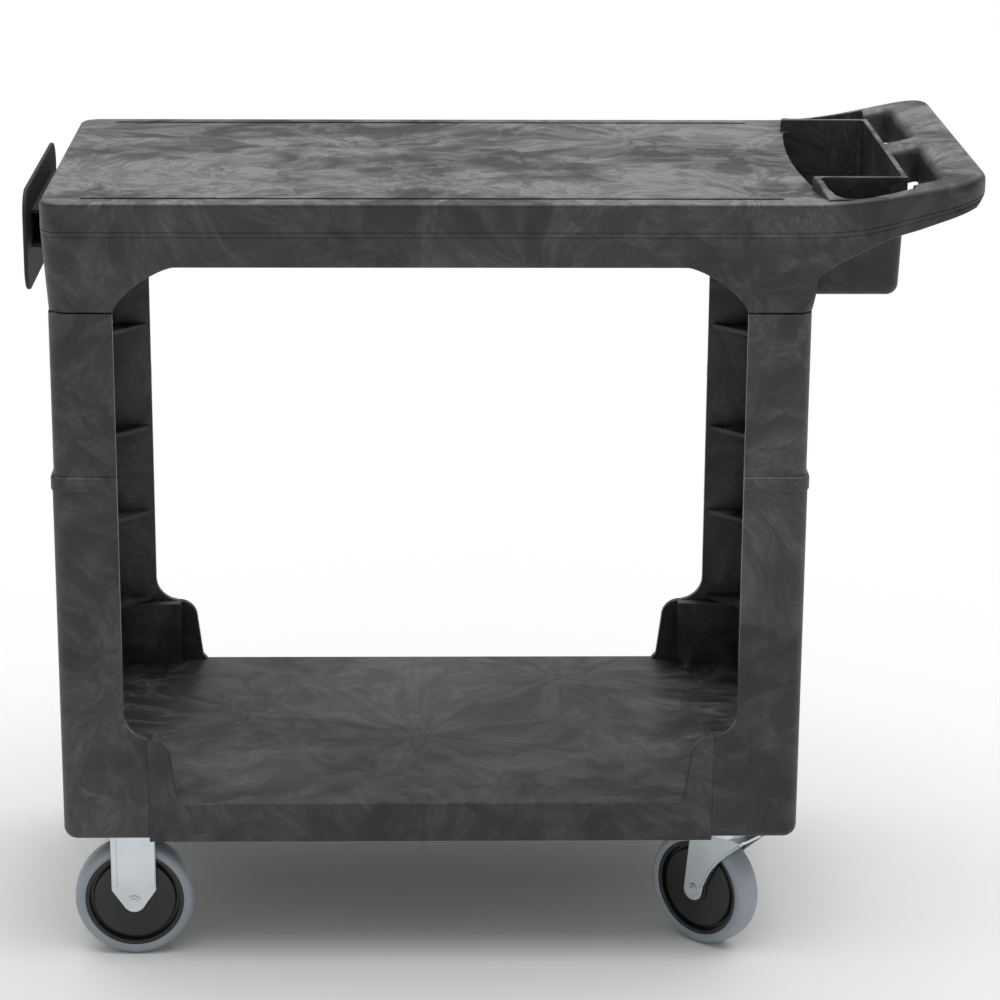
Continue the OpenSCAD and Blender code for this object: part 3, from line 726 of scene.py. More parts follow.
def shelf_form(mm):
    """The solid outer form, tapered below the rim and rounded along its edges."""
    form = prism("top_shelf", side_outline(), "Y", -SIDE_Y - 10, SIDE_Y + 10)
    plan = prism("plan", shelf_plan(mm), "Z", RIM_LINE, DECK + 60)
    edit(plan, "FACE")
    pick_faces(plan, lambda c, n: n.z < -0.9)
    bpy.ops.mesh.extrude_region_move(TRANSFORM_OT_translate={"value": (0, 0, STUB - 5 - RIM_LINE)})
    bpy.ops.transform.resize(value=(381.2 / SIDE_X, 225.2 / SIDE_Y, 1), center_override=(0, 0, 0))
    object_mode()
    combine(form, plan, "INTERSECT")
    clean(form)
    edit(form)

    def weigh(radius, test):
        bpy.ops.mesh.select_all(action="DESELECT")
        pick_edges(form, test)
        bpy.ops.transform.edge_bevelweight(value=radius / mm["rim_round"])

    def is_rim(n):
        return len(n) == 2 and max(n[0].z, n[1].z) > 0.9 and min(abs(n[0].z), abs(n[1].z)) < 0.4

    def is_under(n):
        return len(n) == 2 and min(n[0].z, n[1].z) < -0.25 and min(abs(n[0].z), abs(n[1].z)) < 0.15

    weigh(mm["rim_round"], lambda a, b, n: is_rim(n))
    weigh(2.0, lambda a, b, n: is_under(n) and a.z > STUB + 20)
    object_mode()
    modify(form, "BEVEL", width=mm["rim_round"], segments=5, limit_method="WEIGHT",
           use_clamp_overlap=False)
    swell_rim(form, mm)
    for y in (-1, 1):
        nip = prism("nip", [(386.5, y * 206), *[(x, y * z) for x, z in arc((360, 204), 22, 0, 90, 8)],
                            (360, y * 231), (387, y * 231)], "Z", STUB - 5, STUB - 4)
        edit(nip, "FACE")
        pick_faces(nip, lambda c, n: n.z > 0.9)
        bpy.ops.mesh.extrude_region_move(TRANSFORM_OT_translate={"value": (8.0, y * 1.6, 45)})
        bpy.ops.transform.resize(value=(0.05, 0.05, 1), center_override=(393.5, y * 229.5, 0))
        object_mode()
        combine(form, nip)
    return form


def arch_outline(half):
    """Opening between two legs, eased at its upper corners, with room below."""
    a, b, steps = 62, 47, 12
    top = DECK - 65
    left = []
    for i in range(steps + 1):
        t = math.radians(90 * i / steps)
        left.append((-half + a - a * math.cos(t) ** 1.45, top - b + b * math.sin(t) ** 1.45))
    right = [(-x, z) for x, z in reversed(left)]
    return [(-half, STUB - 60)] + left + right + [(half, STUB - 60)]


def hollow_shelf(form, mm):
    """Opens the underside, with a grid of ribs under the deck, and the arches between legs."""
    wall = mm["wall"]
    inner_x, inner_y = 381.5 - wall, 225.5 - wall
    under, rib, deep = DECK - wall, 5, 28
    combine(form, block("room", (-inner_x, -inner_y, STUB - 20), (inner_x, inner_y, under - deep)))
    xs = [-inner_x] + [92 * (i - 3.5) for i in range(8)] + [ARC_X - 2]
    ys = [-inner_y] + [72 * (i - 2) for i in range(5)] + [inner_y]
    cell = None
    for i in range(len(xs) - 1):
        for j in range(len(ys) - 1):
            lo = (xs[i] + (rib / 2 if i else 0), ys[j] + (rib / 2 if j else 0), under - deep - 1)
            hi = (xs[i + 1] - (rib / 2 if i < len(xs) - 2 else 0),
                  ys[j + 1] - (rib / 2 if j < len(ys) - 2 else 0), under)
            new = block("cell", lo, hi)
            cell = [new] if cell is None else cell + [new]
    object_mode()
    for c in cell:
        c.select_set(True)
    bpy.context.view_layer.objects.active = cell[0]
    bpy.ops.object.join()
    combine(form, cell[0])
    combine(form, block("room", (388.5, -inner_y, STUB - 20), (BIN_X, inner_y, POCKET_FLOOR - 4)))
    combine(form, prism("arch", arch_outline(LEG_X - 66), "Y", -SIDE_Y - 20, SIDE_Y + 20))
    end = arch_outline(LEG_Y - 66)
    combine(form, prism("arch", end, "X", -SIDE_X - 20, -SIDE_X + 80))
    combine(form, prism("arch", end, "X", SIDE_X - 30, SIDE_X + 80))


def add_bin(form):
    """The storage bin, its side walls that run out to the rails, and the pockets."""
    drop = [(150, 0.3), (160, 0.0), (170, -0.8), (180, -2.6), (192, -5.4), (204, -8.2),
            (214, -10.0), (228, -10.6)]
    rim = prism("rim", deck_arc(0, 219.5, 20) + [(BIN_X, -219.5), (BIN_X, 219.5)], "Z",
                POCKET_FLOOR - 4, BIN_TOP)
    for s in (-1, 1):
        falls = [(s * y, BIN_TOP + z) for y, z in drop] + [(s * 228, BIN_TOP + 30),
                                                          (s * 150, BIN_TOP + 30)]
        combine(rim, prism("fall", falls, "X", 360, BIN_X + 10))
    clean(rim)
    round_edges(rim, lambda a, b, n: len(n) == 2 and max(n[0].z, n[1].z) > 0.9
                and min(n[0].x, n[1].x) < -0.5 and min(abs(n[0].z), abs(n[1].z)) < 0.3, 2.2, 3)
    tub = prism("tub", rounded([(ARC_X + 8, -BIN_Y, 0), (BIN_X, -BIN_Y, 12), (BIN_X, BIN_Y, 12),
                                (ARC_X + 8, BIN_Y, 0)], 8), "Z", STUB + 0.5, DECK)
    edit(tub, "FACE")
    pick_faces(tub, lambda c, n: n.z < -0.9)
    bpy.ops.transform.resize(value=(0.955, 0.985, 1), center_override=(ARC_X + 8, 0, 0))
    object_mode()
    round_edges(tub, lambda a, b, n: len(n) == 2 and min(n[0].z, n[1].z) < -0.9
                and max(a.x, b.x) > ARC_X + 20, 11, 5)
    combine(rim, tub, "UNION")
    combine(form, rim, "UNION")
    room = prism("room", rounded([(x, y, 12 if i in (0, 12) else 0) for i, (x, y)
                                  in enumerate(deck_arc(3, BIN_Y - 5.5))]
                                 + [(BIN_X - 5, 5.5 - BIN_Y, 6), (BIN_X - 5, BIN_Y - 5.5, 6)]),
                 "Z", BIN_TOP - 119, BIN_TOP + 30)
    round_edges(room, lambda a, b, n: len(n) == 2 and min(n[0].z, n[1].z) < -0.9, 5, 4)
    combine(form, room)
    mouth = prism("mouth", [(x - 1.5, y) for x, y in deck_arc(0, BIN_Y - 5.5)]
                  + [(400, 5.5 - BIN_Y), (400, BIN_Y - 5.5)], "Z", DECK + 0.02, BIN_TOP + 30)
    combine(form, mouth)
    outline = [(391, BIN_Y + 1, 5), (396, 191, 0), (402, 207, 0), (411, 216, 0), (430, 219.5, 0),
               (455, 217, 0), (BIN_X + 0.5, 212, 0), (BIN_X + 0.5, BIN_Y + 0.8, 0)]
    for s in (-1, 1):
        pocket = prism("pocket", [(x, s * y) for x, y in rounded(outline)], "Z",
                       POCKET_FLOOR, BIN_TOP + 30)
        combine(form, pocket)


def cut_hand_openings(form):
    """The two hand openings, each with a wide flare into the bar, the web and the rail."""
    x0 = BIN_X + 0.02
    tool = prism("slab", [(x0, DECK + rise(x0) + 0.02), (TIP_X + 20, DECK + rise(TIP_X + 20) + 0.02),
                          (TIP_X + 20, DECK + 90), (x0, DECK + 90)], "Y", -SIDE_Y, SIDE_Y)
    for s in (-1, 1):
        hole = rounded([(x0, 25, 0), (509, 25, 9), (508, 192, 11), (x0, 192, 0)], 7)
        combine(tool, prism("hole", [(x, s * y) for x, y in hole], "Z", STUB, DECK + 60), "UNION")
    clean(tool)
    round_edges(tool, lambda a, b, n: len(n) == 2 and max(a.x, b.x) > x0 + 0.5
                and abs(a.z - DECK - rise(a.x)) < 0.1 and abs(b.z - DECK - rise(b.x)) < 0.1
                and max(abs(a.y), abs(b.y)) < 205, 11.5, 6)
    combine(form, tool)


def cut_lines(form, mm):
    """The two fine lines around the apron and the two long grooves in the deck."""
    keep = prism("keep", shelf_plan(mm, 1.0), "Z", STUB - 30, DECK + 60)
    for depth, high in ((29.0, 1.1), (34.0, 1.1)):
        xs = [-SIDE_X - 20, ARC_X] + [ARC_X + 10.7 * i for i in range(1, 18)]
        squeeze = [depth * (1 - 0.22 * max(0, (x - 430) / 120)) for x in xs]
        upper = [(x, DECK + rise(x) - d) for x, d in zip(xs, squeeze)]
        lower = [(x, z - high) for x, z in reversed(upper)]
        band = prism("band", upper + lower, "Y", -SIDE_Y - 20, SIDE_Y + 20)
        combine(band, keep, keep=True)
        combine(form, band)
    bpy.data.objects.remove(keep, do_unlink=True)
    for s in (-1, 1):
        y, r = s * 205.5, 3.4
        groove = prism("groove", rounded([(-347.5, y - r, r - 0.1), (351.5, y - r, r - 0.1),
                                          (351.5, y + r, r - 0.1), (-347.5, y + r, r - 0.1)], 5),
                       "Z", DECK - 2.6, DECK + 20)
        combine(form, groove)


class TROLLEY_OT_upper_shelf(bpy.types.Operator):
    """Models the upper shelf with its bin, hand openings and push handle"""

    bl_idname = "trolley.upper_shelf"
    bl_label = "Upper Shelf"

    def execute(self, context):
        mm = millimetres(context)
        form = shelf_form(mm)
        hollow_shelf(form, mm)
        add_bin(form)
        cut_hand_openings(form)
        cut_lines(form, mm)
        clean(form)
        settle(form, (MID_X, 0, 0))
        shade(form)
        finish_piece(form, "cart", "foam", bpy.data.materials["foam_top"], "top_shelf",
                     "top_apron", "handle_end")
        form.name = "upper_shelf"
        return {"FINISHED"}


# ------------------------------------------------------------------------------ the lower shelf

CORNER = LOWER + 72
FOOT_GAP = 0.3


class TROLLEY_OT_lower_shelf(bpy.types.Operator):
    """Models the lower shelf with its corner walls"""

    bl_idname = "trolley.lower_shelf"
    bl_label = "Lower Shelf"

    def execute(self, context):
        mm = millimetres(context)
        wall, foot = mm["wall"], mm["foot_width"]
        seat = wall + FOOT_GAP
        fx, fy = LEG_X - foot - FOOT_GAP, LEG_Y - foot - FOOT_GAP
        ox, oy = LEG_X - seat, LEG_Y - seat
        plan = [(fx, -LEG_Y), (fx, -oy), (ox, -oy), (ox, -fy), (LEG_X, -fy), (LEG_X, fy),
                (ox, fy), (ox, oy), (fx, oy), (fx, LEG_Y)]
        plan += [(-x, y) for x, y in reversed(plan)]
        form = prism("bottom_shelf", plan, "Z", SKIRT, LOWER)
        round_edges(form, lambda a, b, n: len(n) == 2 and abs(a.z - b.z) < 0.1
                    and is_corner(n) and (abs(a.x + b.x) / 2 < fx or abs(a.y + b.y) / 2 < fy)
                    and min(n[0].z, n[1].z) > -0.5, 1.6, 3)
        under = LOWER - 6
        cells = []
        xs = [-LEG_X + 6] + [92 * (i - 2.5) for i in range(6)] + [LEG_X - 6]
        ys = [-LEG_Y + 6] + [72 * (i - 1.5) for i in range(4)] + [LEG_Y - 6]
        for i in range(len(xs) - 1):
            for j in range(len(ys) - 1):
                cells.append(block("cell", (xs[i] + 2.5, ys[j] + 2.5, SKIRT + 12),
                                   (xs[i + 1] - 2.5, ys[j + 1] - 2.5, under)))
        object_mode()
        for c in cells:
            c.select_set(True)
        bpy.context.view_layer.objects.active = cells[0]
        bpy.ops.object.join()
        room = block("room", (-LEG_X + 6, -LEG_Y + 6, SKIRT - 10), (LEG_X - 6, LEG_Y - 6, SKIRT + 13))
        inner = [(x * (1 - 6 / abs(x)), y * (1 - 6 / abs(y))) for x, y in plan]
        keep = prism("keep", inner, "Z", SKIRT - 20, under)
        combine(cells[0], room, "UNION")
        combine(cells[0], keep, "INTERSECT")
        combine(form, cells[0])
        for sx in (-1, 1):
            for sy in (-1, 1):
                combine(form, self.corner_wall(mm, sx, sy, ox, oy, fx, fy), "UNION")
                lift = [(fx + 0.01, LEG_Y - 20), (LEG_X - 20, LEG_Y - 20), (LEG_X - 20, fy + 0.01),
                        (LEG_X + 5, fy + 0.01), (LEG_X + 5, LEG_Y + 5), (fx + 0.01, LEG_Y + 5)]
                combine(form, prism("lift", [(sx * x, sy * y) for x, y in lift], "Z",
                                    SKIRT - 5, SKIRT + 18.5))
                x = sx * (313 if sx < 0 else 315)
                pad = block("pad", (x - 51, sy * 186 - 32, 157), (x + 51, sy * 186 + 32, LOWER - 3))
                combine(form, pad, "UNION")
        clean(form)
        settle(form, (MID_X, 0, 0))
        shade(form)
        finish_piece(form, "cart", "foam", bpy.data.materials["foam_lower"], "bottom_shelf")
        form.name = "lower_shelf"
        return {"FINISHED"}

    def corner_wall(self, mm, sx, sy, ox, oy, fx, fy):
        """A thick L behind the foot of a leg, with a thin flush end on each side."""
        thick, run = 13, mm["foot_width"] - mm["wall"] + 5
        low = LOWER - 3
        ell = [(ox - run, oy), (ox - run, oy - thick), (ox - thick - 4, oy - thick),
               (ox - thick, oy - thick - 4), (ox - thick, oy - run), (ox, oy - run), (ox, oy)]
        form = prism("corner", [(sx * x, sy * y) for x, y in ell], "Z", low, CORNER)
        round_edges(form, lambda a, b, n: is_corner(n) and (max(n[0].z, n[1].z) > 0.9
                    or is_along(a, b, 2)), 1.2, 2)
        for half, axis, s, t in ((LEG_X, "Y", sx, sy), (LEG_Y, "X", sy, sx)):
            end = half - mm["foot_width"] - FOOT_GAP
            curve = arc((half - 92, CORNER - 21), 21, 90, 180, 10)
            shape = ([(end, low), (end, CORNER)] + [p for p in curve if p[0] < end]
                     + [(half - 118.6, LOWER + 6), (half - 124, LOWER - 0.5), (half - 124, low)])
            out = LEG_Y if axis == "Y" else LEG_X
            plate = prism("end", [(s * x, z) for x, z in shape], axis, t * (out - 8.5), t * out)
            round_edges(plate, lambda a, b, n: is_corner(n, 50) and min(a.z, b.z) > LOWER + 1
                        and max(abs(a[0 if axis == "Y" else 1]),
                                abs(b[0 if axis == "Y" else 1])) < end + 0.1
                        and not is_along(a, b, 1 if axis == "Y" else 0), 1.2, 2)
            combine(form, plate, "UNION")
        return form


# ------------------------------------------------------------------------------------- the legs

BEAD = 528


class TROLLEY_OT_legs(bpy.types.Operator):
    """Models one L-section leg and mirrors it to the four corners"""

    bl_idname = "trolley.legs"
    bl_label = "Legs"

    def execute(self, context):
        mm = millimetres(context)
        wall, wide, foot = mm["wall"], mm["leg_width"], mm["foot_width"]
        top = STUB - 2
        leg = block("leg", (LEG_X - foot, LEG_Y - foot, SKIRT), (LEG_X, LEG_Y, BEAD))
        round_edges(leg, lambda a, b, n: is_along(a, b, 2) and min(a.x, b.x) > LEG_X - 1
                    and min(a.y, b.y) > LEG_Y - 1, mm["leg_round"], 8)
        round_edges(leg, lambda a, b, n: len(n) == 2 and is_corner(n, 80) and max(a.z, b.z) < SKIRT + 1
                    and (max(n[0].x, n[1].x) > 0.05 or max(n[0].y, n[1].y) > 0.05)
                    and min(n[0].x, n[1].x) > -0.5 and min(n[0].y, n[1].y) > -0.5,
                    mm["foot_round"] * 0.999, 8)
        upper = block("upper", (LEG_X - wide, LEG_Y - wide, BEAD - 1), (LEG_X - 1.5, LEG_Y - 1.5, top))
        round_edges(upper, lambda a, b, n: is_along(a, b, 2) and min(a.x, b.x) > LEG_X - 3
                    and min(a.y, b.y) > LEG_Y - 3, mm["leg_round"], 8)
        combine(leg, upper, "UNION")
        bead = block("bead", (LEG_X - wide - 20, LEG_Y - wide - 20, BEAD - 8),
                     (LEG_X + 1.5, LEG_Y + 1.5, BEAD + 8))
        round_edges(bead, lambda a, b, n: is_along(a, b, 2) and min(a.x, b.x) > LEG_X
                    and min(a.y, b.y) > LEG_Y, mm["leg_round"] + 1, 8)
        round_edges(bead, lambda a, b, n: len(n) == 2 and abs(a.z - b.z) < 0.1
                    and max(abs(n[0].z), abs(n[1].z)) > 0.9 and is_corner(n, 80)
                    and max(n[0].x, n[1].x, n[0].y, n[1].y) > 0.05
                    and min(n[0].x, n[1].x, n[0].y, n[1].y) > -0.5, 2.6, 4)
        combine(leg, bead, "UNION")
        room = block("room", (LEG_X - foot - 50, LEG_Y - foot - 50, SKIRT + wall),
                     (LEG_X - wall, LEG_Y - wall, top + 30))
        round_edges(room, lambda a, b, n: is_along(a, b, 2) and min(a.x, b.x) > LEG_X - 9
                    and min(a.y, b.y) > LEG_Y - 9, 7, 6)
        round_edges(room, lambda a, b, n: len(n) == 2 and min(n[0].z, n[1].z) < -0.9
                    and max(n[0].x, n[1].x, n[0].y, n[1].y) > 0.05
                    and min(n[0].x, n[1].x, n[0].y, n[1].y) > -0.5, 11, 6)
        combine(leg, room)
        combine(leg, block("room", (LEG_X - foot - 50, LEG_Y - foot - 50, SKIRT - 20),
                           (LEG_X - 20, LEG_Y - 20, SKIRT + wall + 5)))
        for half, axis in ((LEG_X, "Y"), (LEG_Y, "X")):
            crotch = arc((half - wide - 27, CORNER + 27), 27, -82, 0, 10)
            beside = ([(half - foot - 60, CORNER + 0.2), (half - foot, CORNER + 0.2)] + crotch
                      + [(half - wide, top + 40), (half - foot - 60, top + 40)])
            combine(leg, prism("beside", beside, axis, (LEG_Y if axis == "Y" else LEG_X) - 90,
                               (LEG_Y if axis == "Y" else LEG_X) + 20))
        for z in (CORNER + 2, 359, 460, 580):
            ix, iy = LEG_X - wall + 1, LEG_Y - wall + 1
            rib = prism("rib", [(ix, iy), (LEG_X - wide + 3, iy), (LEG_X - wide + 3, iy - 1),
                                (ix - 1, LEG_Y - wide + 3), (ix, LEG_Y - wide + 3)], "Z", z, z + 5)
            combine(leg, rib, "UNION")
        ix, iy = LEG_X - 1.5 - wall + 0.4, LEG_Y - 1.5 - wall + 0.4
        tongue = prism("tongue", [(ix, iy), (ix - 50, iy), (ix - 50, iy - 7), (ix - 7, iy - 7),
                                  (ix - 7, iy - 50), (ix, iy - 50)], "Z", top - 46, top + 36)
        combine(leg, tongue, "UNION")
        clean(leg)
        soften(leg, 0.8)
        settle(leg, (MID_X, 0, 0))
        shade(leg)
        left = mirrored(leg, "left", (MID_X, 0, 0), 0)
        pieces = {"back_right": leg, "back_left": left,
                  "front_right": mirrored(leg, "fr", (0, 0, 0), 1),
                  "front_left": mirrored(left, "fl", (0, 0, 0), 1)}
        for place, piece in pieces.items():
            shade(piece)
            finish_piece(piece, "cart", "foam", bpy.data.materials["foam_leg"], "leg_" + place)
            piece.name = "corner_leg_" + place
        return {"FINISHED"}


# ------------------------------------------------------------------------------- the cord wrap

class TROLLEY_OT_cord_wrap(bpy.types.Operator):
    """Models the cord plate on its open neck"""

    bl_idname = "trolley.cord_wrap"
    bl_label = "Cord Wrap"

    def execute(self, context):
        out = MID_X * 1000 - WRAP_LO.x * 1000
        lo, hi, y = WRAP_LO.z * 1000, WRAP_HI.z * 1000, WRAP_HI.y * 1000
        form = prism("cord_wrap", rounded([(-y, lo, 26), (y, lo, 26), (y, hi, 26), (-y, hi, 26)], 10),
                     "X", -out, -out + 4)
        round_edges(form, lambda a, b, n: is_corner(n, 60), 1.1, 3)
        top = DECK - 34
        neck = prism("neck", [(-out + 2, top - 39), (-out + 2, top), (-386.2, top),
                              (-383.5, top - 39)], "Y", -100, 100)
        round_edges(neck, lambda a, b, n: is_along(a, b, 1), 2.5, 3)
        combine(form, neck, "UNION")
        combine(form, block("through", (-out + 4, -130, top - 35.5), (-390.5, 130, top - 3.5)))
        clean(form)
        settle(form, (MID_X, 0, 0))
        shade(form)
        finish_piece(form, "cart", "cord_plastic", bpy.data.materials["cord_plastic"], "cord_wrap")
        form.name = "cord_plate"
        return {"FINISHED"}


# ------------------------------------------------------------------------------- the casters

WHEEL_R = 63.5
TYRE_HALF = 16
CORE_R = 53.5
CHEEK_IN = 19
CHEEK_T = 2.5
CASTER_TOP = 157
TRAIL = 30
PLACES = ("front_left", "back_left", "front_right", "back_right")


def wheel_place(place):
    """Centre of a wheel and the turn of its axle about +Z."""
    x, y, z = JOINTS["wheel_spin_" + place]["pos_m"]
    turn = math.radians(43) if "right" in place else 0.0
    return (x, y, z), turn if "back" in place else -turn


def turned(name, profile):
    """A solid of revolution about Y from a closed profile of (radius, y) points."""
    form = prism(name, profile, "Z", 0, 0.0001) if False else loop(name, profile)
    edit(form)
    bpy.ops.mesh.select_all(action="SELECT")
    bpy.ops.mesh.spin(steps=bpy.context.scene.trolley_sizes.wheel_steps, angle=2 * math.pi,
                      use_auto_merge=True, center=(0, 0, 0), axis=(0, 1, 0))
    object_mode()
    clean(form)
    return form


def loop(name, points):
    """A closed wire in the XY plane, point by point."""
    form = prism(name, points, "Z", 0, 1)
    edit(form, "VERT")
    bm = bmesh.from_edit_mesh(form.data)
    for v in bm.verts:
        v.select_set(v.co.z > 0.5)
    bm.select_flush_mode()
    bmesh.update_edit_mesh(form.data)
    bpy.ops.mesh.delete(type="VERT")
    bpy.ops.mesh.select_all(action="SELECT")
    bpy.ops.mesh.delete(type="ONLY_FACE")
    object_mode()
    return form


class TROLLEY_OT_wheels(bpy.types.Operator):
    """Models one tyre and one wheel core and copies them to the four casters"""

    bl_idname = "trolley.wheels"
    bl_label = "Wheels"

    def execute(self, context):
        h = TYRE_HALF
        half = [(CORE_R - 1.5, h - 1.5), (CORE_R, h - 0.6), (CORE_R + 3.5, h - 0.1),
                (CORE_R + 5.5, h - 0.6), (CORE_R + 7.4, h - 2.2), (WHEEL_R - 1.1, h - 4.6),
                (WHEEL_R - 0.45, h - 7.5), (WHEEL_R - 0.1, h - 11), (WHEEL_R, 0)]
        tyre = turned("tyre", half + [(r, -y) for r, y in reversed(half[:-1])])
        rim = CORE_R - 1.52
        face = [(9.02, 18), (13.5, 18), (14.5, 17.2), (15, h - 1.6), (18, h - 2.2), (40.5, h - 3.2),
                (42.6, h - 3.6), (43.6, h - 5), (44, h - 9), (47, h - 9), (47.3, h - 3.4),
                (47.9, h - 1.9), (49, h - 1.3), (rim - 0.8, h - 1.3), (rim, h - 2)]
        core = turned("core", face + [(r, -y) for r, y in reversed(face)])
        parts = {"tyre": (tyre, "tyre", "tyre_grey"), "wheel_core": (core, "hub", "hub_black")}
        for node, (pattern, slot, finish) in parts.items():
            for place in PLACES:
                centre, turn = wheel_place(place)
                piece = copy_of(pattern, node.replace("wheel_", "") + "_ring_" + place)
                settle(piece, centre, turn)
                shade(piece, 28)
                finish_piece(piece, "wheel_" + place, slot, bpy.data.materials[finish],
                             node + "_" + place)
            bpy.data.objects.remove(pattern, do_unlink=True)
        return {"FINISHED"}


def base_plate(name):
    """Mounting plate, drawn about the caster's centre; its four screw holes are not cut."""
    plate = prism(name, rounded([(-46, -30, 6), (46, -30, 6), (46, 30, 6), (-46, 30, 6)]), "Z",
                  CASTER_TOP - 3, CASTER_TOP)
    return plate


class TROLLEY_OT_rigid_forks(bpy.types.Operator):
    """Models one rigid fork with its pressed ridges and copies it to the back"""

    bl_idname = "trolley.rigid_forks"
    bl_label = "Rigid Forks"

    def execute(self, context):
        fork = base_plate("rigid_fork")
        out = CHEEK_IN + CHEEK_T
        top = CASTER_TOP - 2.5
        cheek = ([(23.5, top), (23.5, WHEEL_R + 13)] + arc((0, WHEEL_R), 12, -35, -145, 12)
                 + [(-23.5, WHEEL_R + 13), (-23.5, top)])
        ridge = rounded([(17.2, WHEEL_R + 17, 2.4), (22.6, WHEEL_R + 17, 2.4), (22.6, top + 1, 0),
                         (17.2, top + 1, 0)], 4)
        for s in (-1, 1):
            part = prism("cheek", cheek, "Y", s * CHEEK_IN, s * out)
            round_edges(part, lambda a, b, n: is_corner(n, 60) and abs(abs(a.y) - out) < 0.1
                        and abs(abs(b.y) - out) < 0.1 and min(a.z, b.z) < top - 1, 0.9, 3)
            combine(fork, part, "UNION")
            for m in (-1, 1):
                rib = prism("ridge", [(m * x, z) for x, z in ridge], "Y", s * (out - 1),
                            s * (out + 1))
                round_edges(rib, lambda a, b, n: is_corner(n, 60) and min(abs(a.y), abs(b.y))
                            > out + 0.5, 0.8, 3)
                combine(fork, rib, "UNION")
            dent = prism("dent", arc((0, CASTER_TOP - 10), 9, 180, 360, 12)
                         + [(9, CASTER_TOP - 3.2), (-9, CASTER_TOP - 3.2)], "Y",
                         s * (out - 1.6), s * (out + 3))
            combine(fork, dent)
        clean(fork)
        for place, y in (("front", -1), ("back", 1)):
            lo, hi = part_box("rigid_fork_" + place)
            piece = copy_of(fork, "rigid_yoke_" + place)
            settle(piece, ((lo.x + hi.x) / 2, (lo.y + hi.y) / 2, 0))
            shade(piece)
            finish_piece(piece, "cart", "zinc", bpy.data.materials["zinc_steel"],
                         "rigid_fork_" + place)
        bpy.data.objects.remove(fork, do_unlink=True)
        return {"FINISHED"}


class TROLLEY_OT_swivel_forks(bpy.types.Operator):
    """Models one swivel fork with its swept cheeks and copies it to the back"""

    bl_idname = "trolley.swivel_forks"
    bl_label = "Swivel Forks"

    def execute(self, context):
        out = CHEEK_IN + CHEEK_T
        crown = 131
        reach = 33
        bpy.ops.object.select_all(action="DESELECT")
        fork = prism("swivel_fork", rounded(
            [(-34, -out, 10), (reach, -out, 10), (reach, out, 10), (-34, out, 10)], 8), "Z",
            crown, crown + 3)
        move_mesh(fork, (0, 0, 0))
        race = prism("race", arc((0, 0), 27, 0, 352.5, 47), "Z", crown + 2, 145.4)
        round_edges(race, lambda a, b, n: is_corner(n, 60), 1.6, 3)
        combine(fork, race, "UNION")
        w = WHEEL_R
        sweep = ([(-34, crown + 3)] + arc((-TRAIL, w), 12, 185, 340, 14)
                 + [(x - TRAIL, w + z) for x, z in ((13.8, 6), (15.6, 10), (18.6, 17), (22.4, 24.5),
                                                    (27, 31.5), (33, 39), (40, 46.5), (47.5, 53.5),
                                                    (55.5, 60.5), (63, 67.5))]
                 + [(reach, crown + 3)])
        for s in (-1, 1):
            part = prism("cheek", sweep, "Y", s * CHEEK_IN, s * out)
            round_edges(part, lambda a, b, n: is_corner(n, 60) and abs(abs(a.y) - out) < 0.1
                        and abs(abs(b.y) - out) < 0.1, 0.9, 3)
            lip = prism("lip", [(x - TRAIL, w + z) for x, z in
                                ((10.5, 6), (13.8, 6), (15.6, 10), (18.6, 17), (22.4, 24.5),
                                 (27, 31.5), (33, 39), (40, 46.5), (47.5, 53.5), (55.5, 60.5),
                                 (63, 67.5), (60, 67.5), (52.5, 61.5), (44.8, 54.8), (37.4, 48),
                                 (30.4, 40.6), (24.4, 33), (19.8, 25.8), (16.2, 18.4), (13, 11))],
                        "Y", s * (out - 5.5), s * (out + 1.2))
            round_edges(lip, lambda a, b, n: is_corner(n, 60) and min(abs(a.y), abs(b.y)) > out,
                        0.9, 3)
            combine(fork, part, "UNION")
            combine(fork, lip, "UNION")
        clean(fork)
        for place in ("front", "back"):
            x, y, _ = JOINTS["swivel_turn_" + place]["pos_m"]
            piece = copy_of(fork, "swivel_yoke_" + place)
            settle(piece, (x, y, 0), math.radians(43 if place == "back" else -43))
            shade(piece)
            finish_piece(piece, "swivel_" + place, "zinc", bpy.data.materials["zinc_steel"],
                         "swivel_fork_" + place)
        bpy.data.objects.remove(fork, do_unlink=True)
        return {"FINISHED"}


class TROLLEY_OT_hardware(bpy.types.Operator):
    """Gives the screws, axles, nuts, plates and bushes of the frame their finishes"""

    bl_idname = "trolley.hardware"
    bl_label = "Hardware"

    def execute(self, context):
        for name, node in frame["nodes"].items():
            if node.hide_render:
                continue
            finish = "acetal" if "bush" in name else "zinc_steel"
            node.data.materials.clear()
            node.data.materials.append(bpy.data.materials[finish])
        return {"FINISHED"}


# ------------------------------------------------------------------------------------ the stage

def aim(obj, place, target):
    """Puts a lamp at a place, facing a target."""
    obj.location = place
    obj.rotation_euler = (Vector(target) - Vector(place)).to_track_quat("-Z", "Y").to_euler()


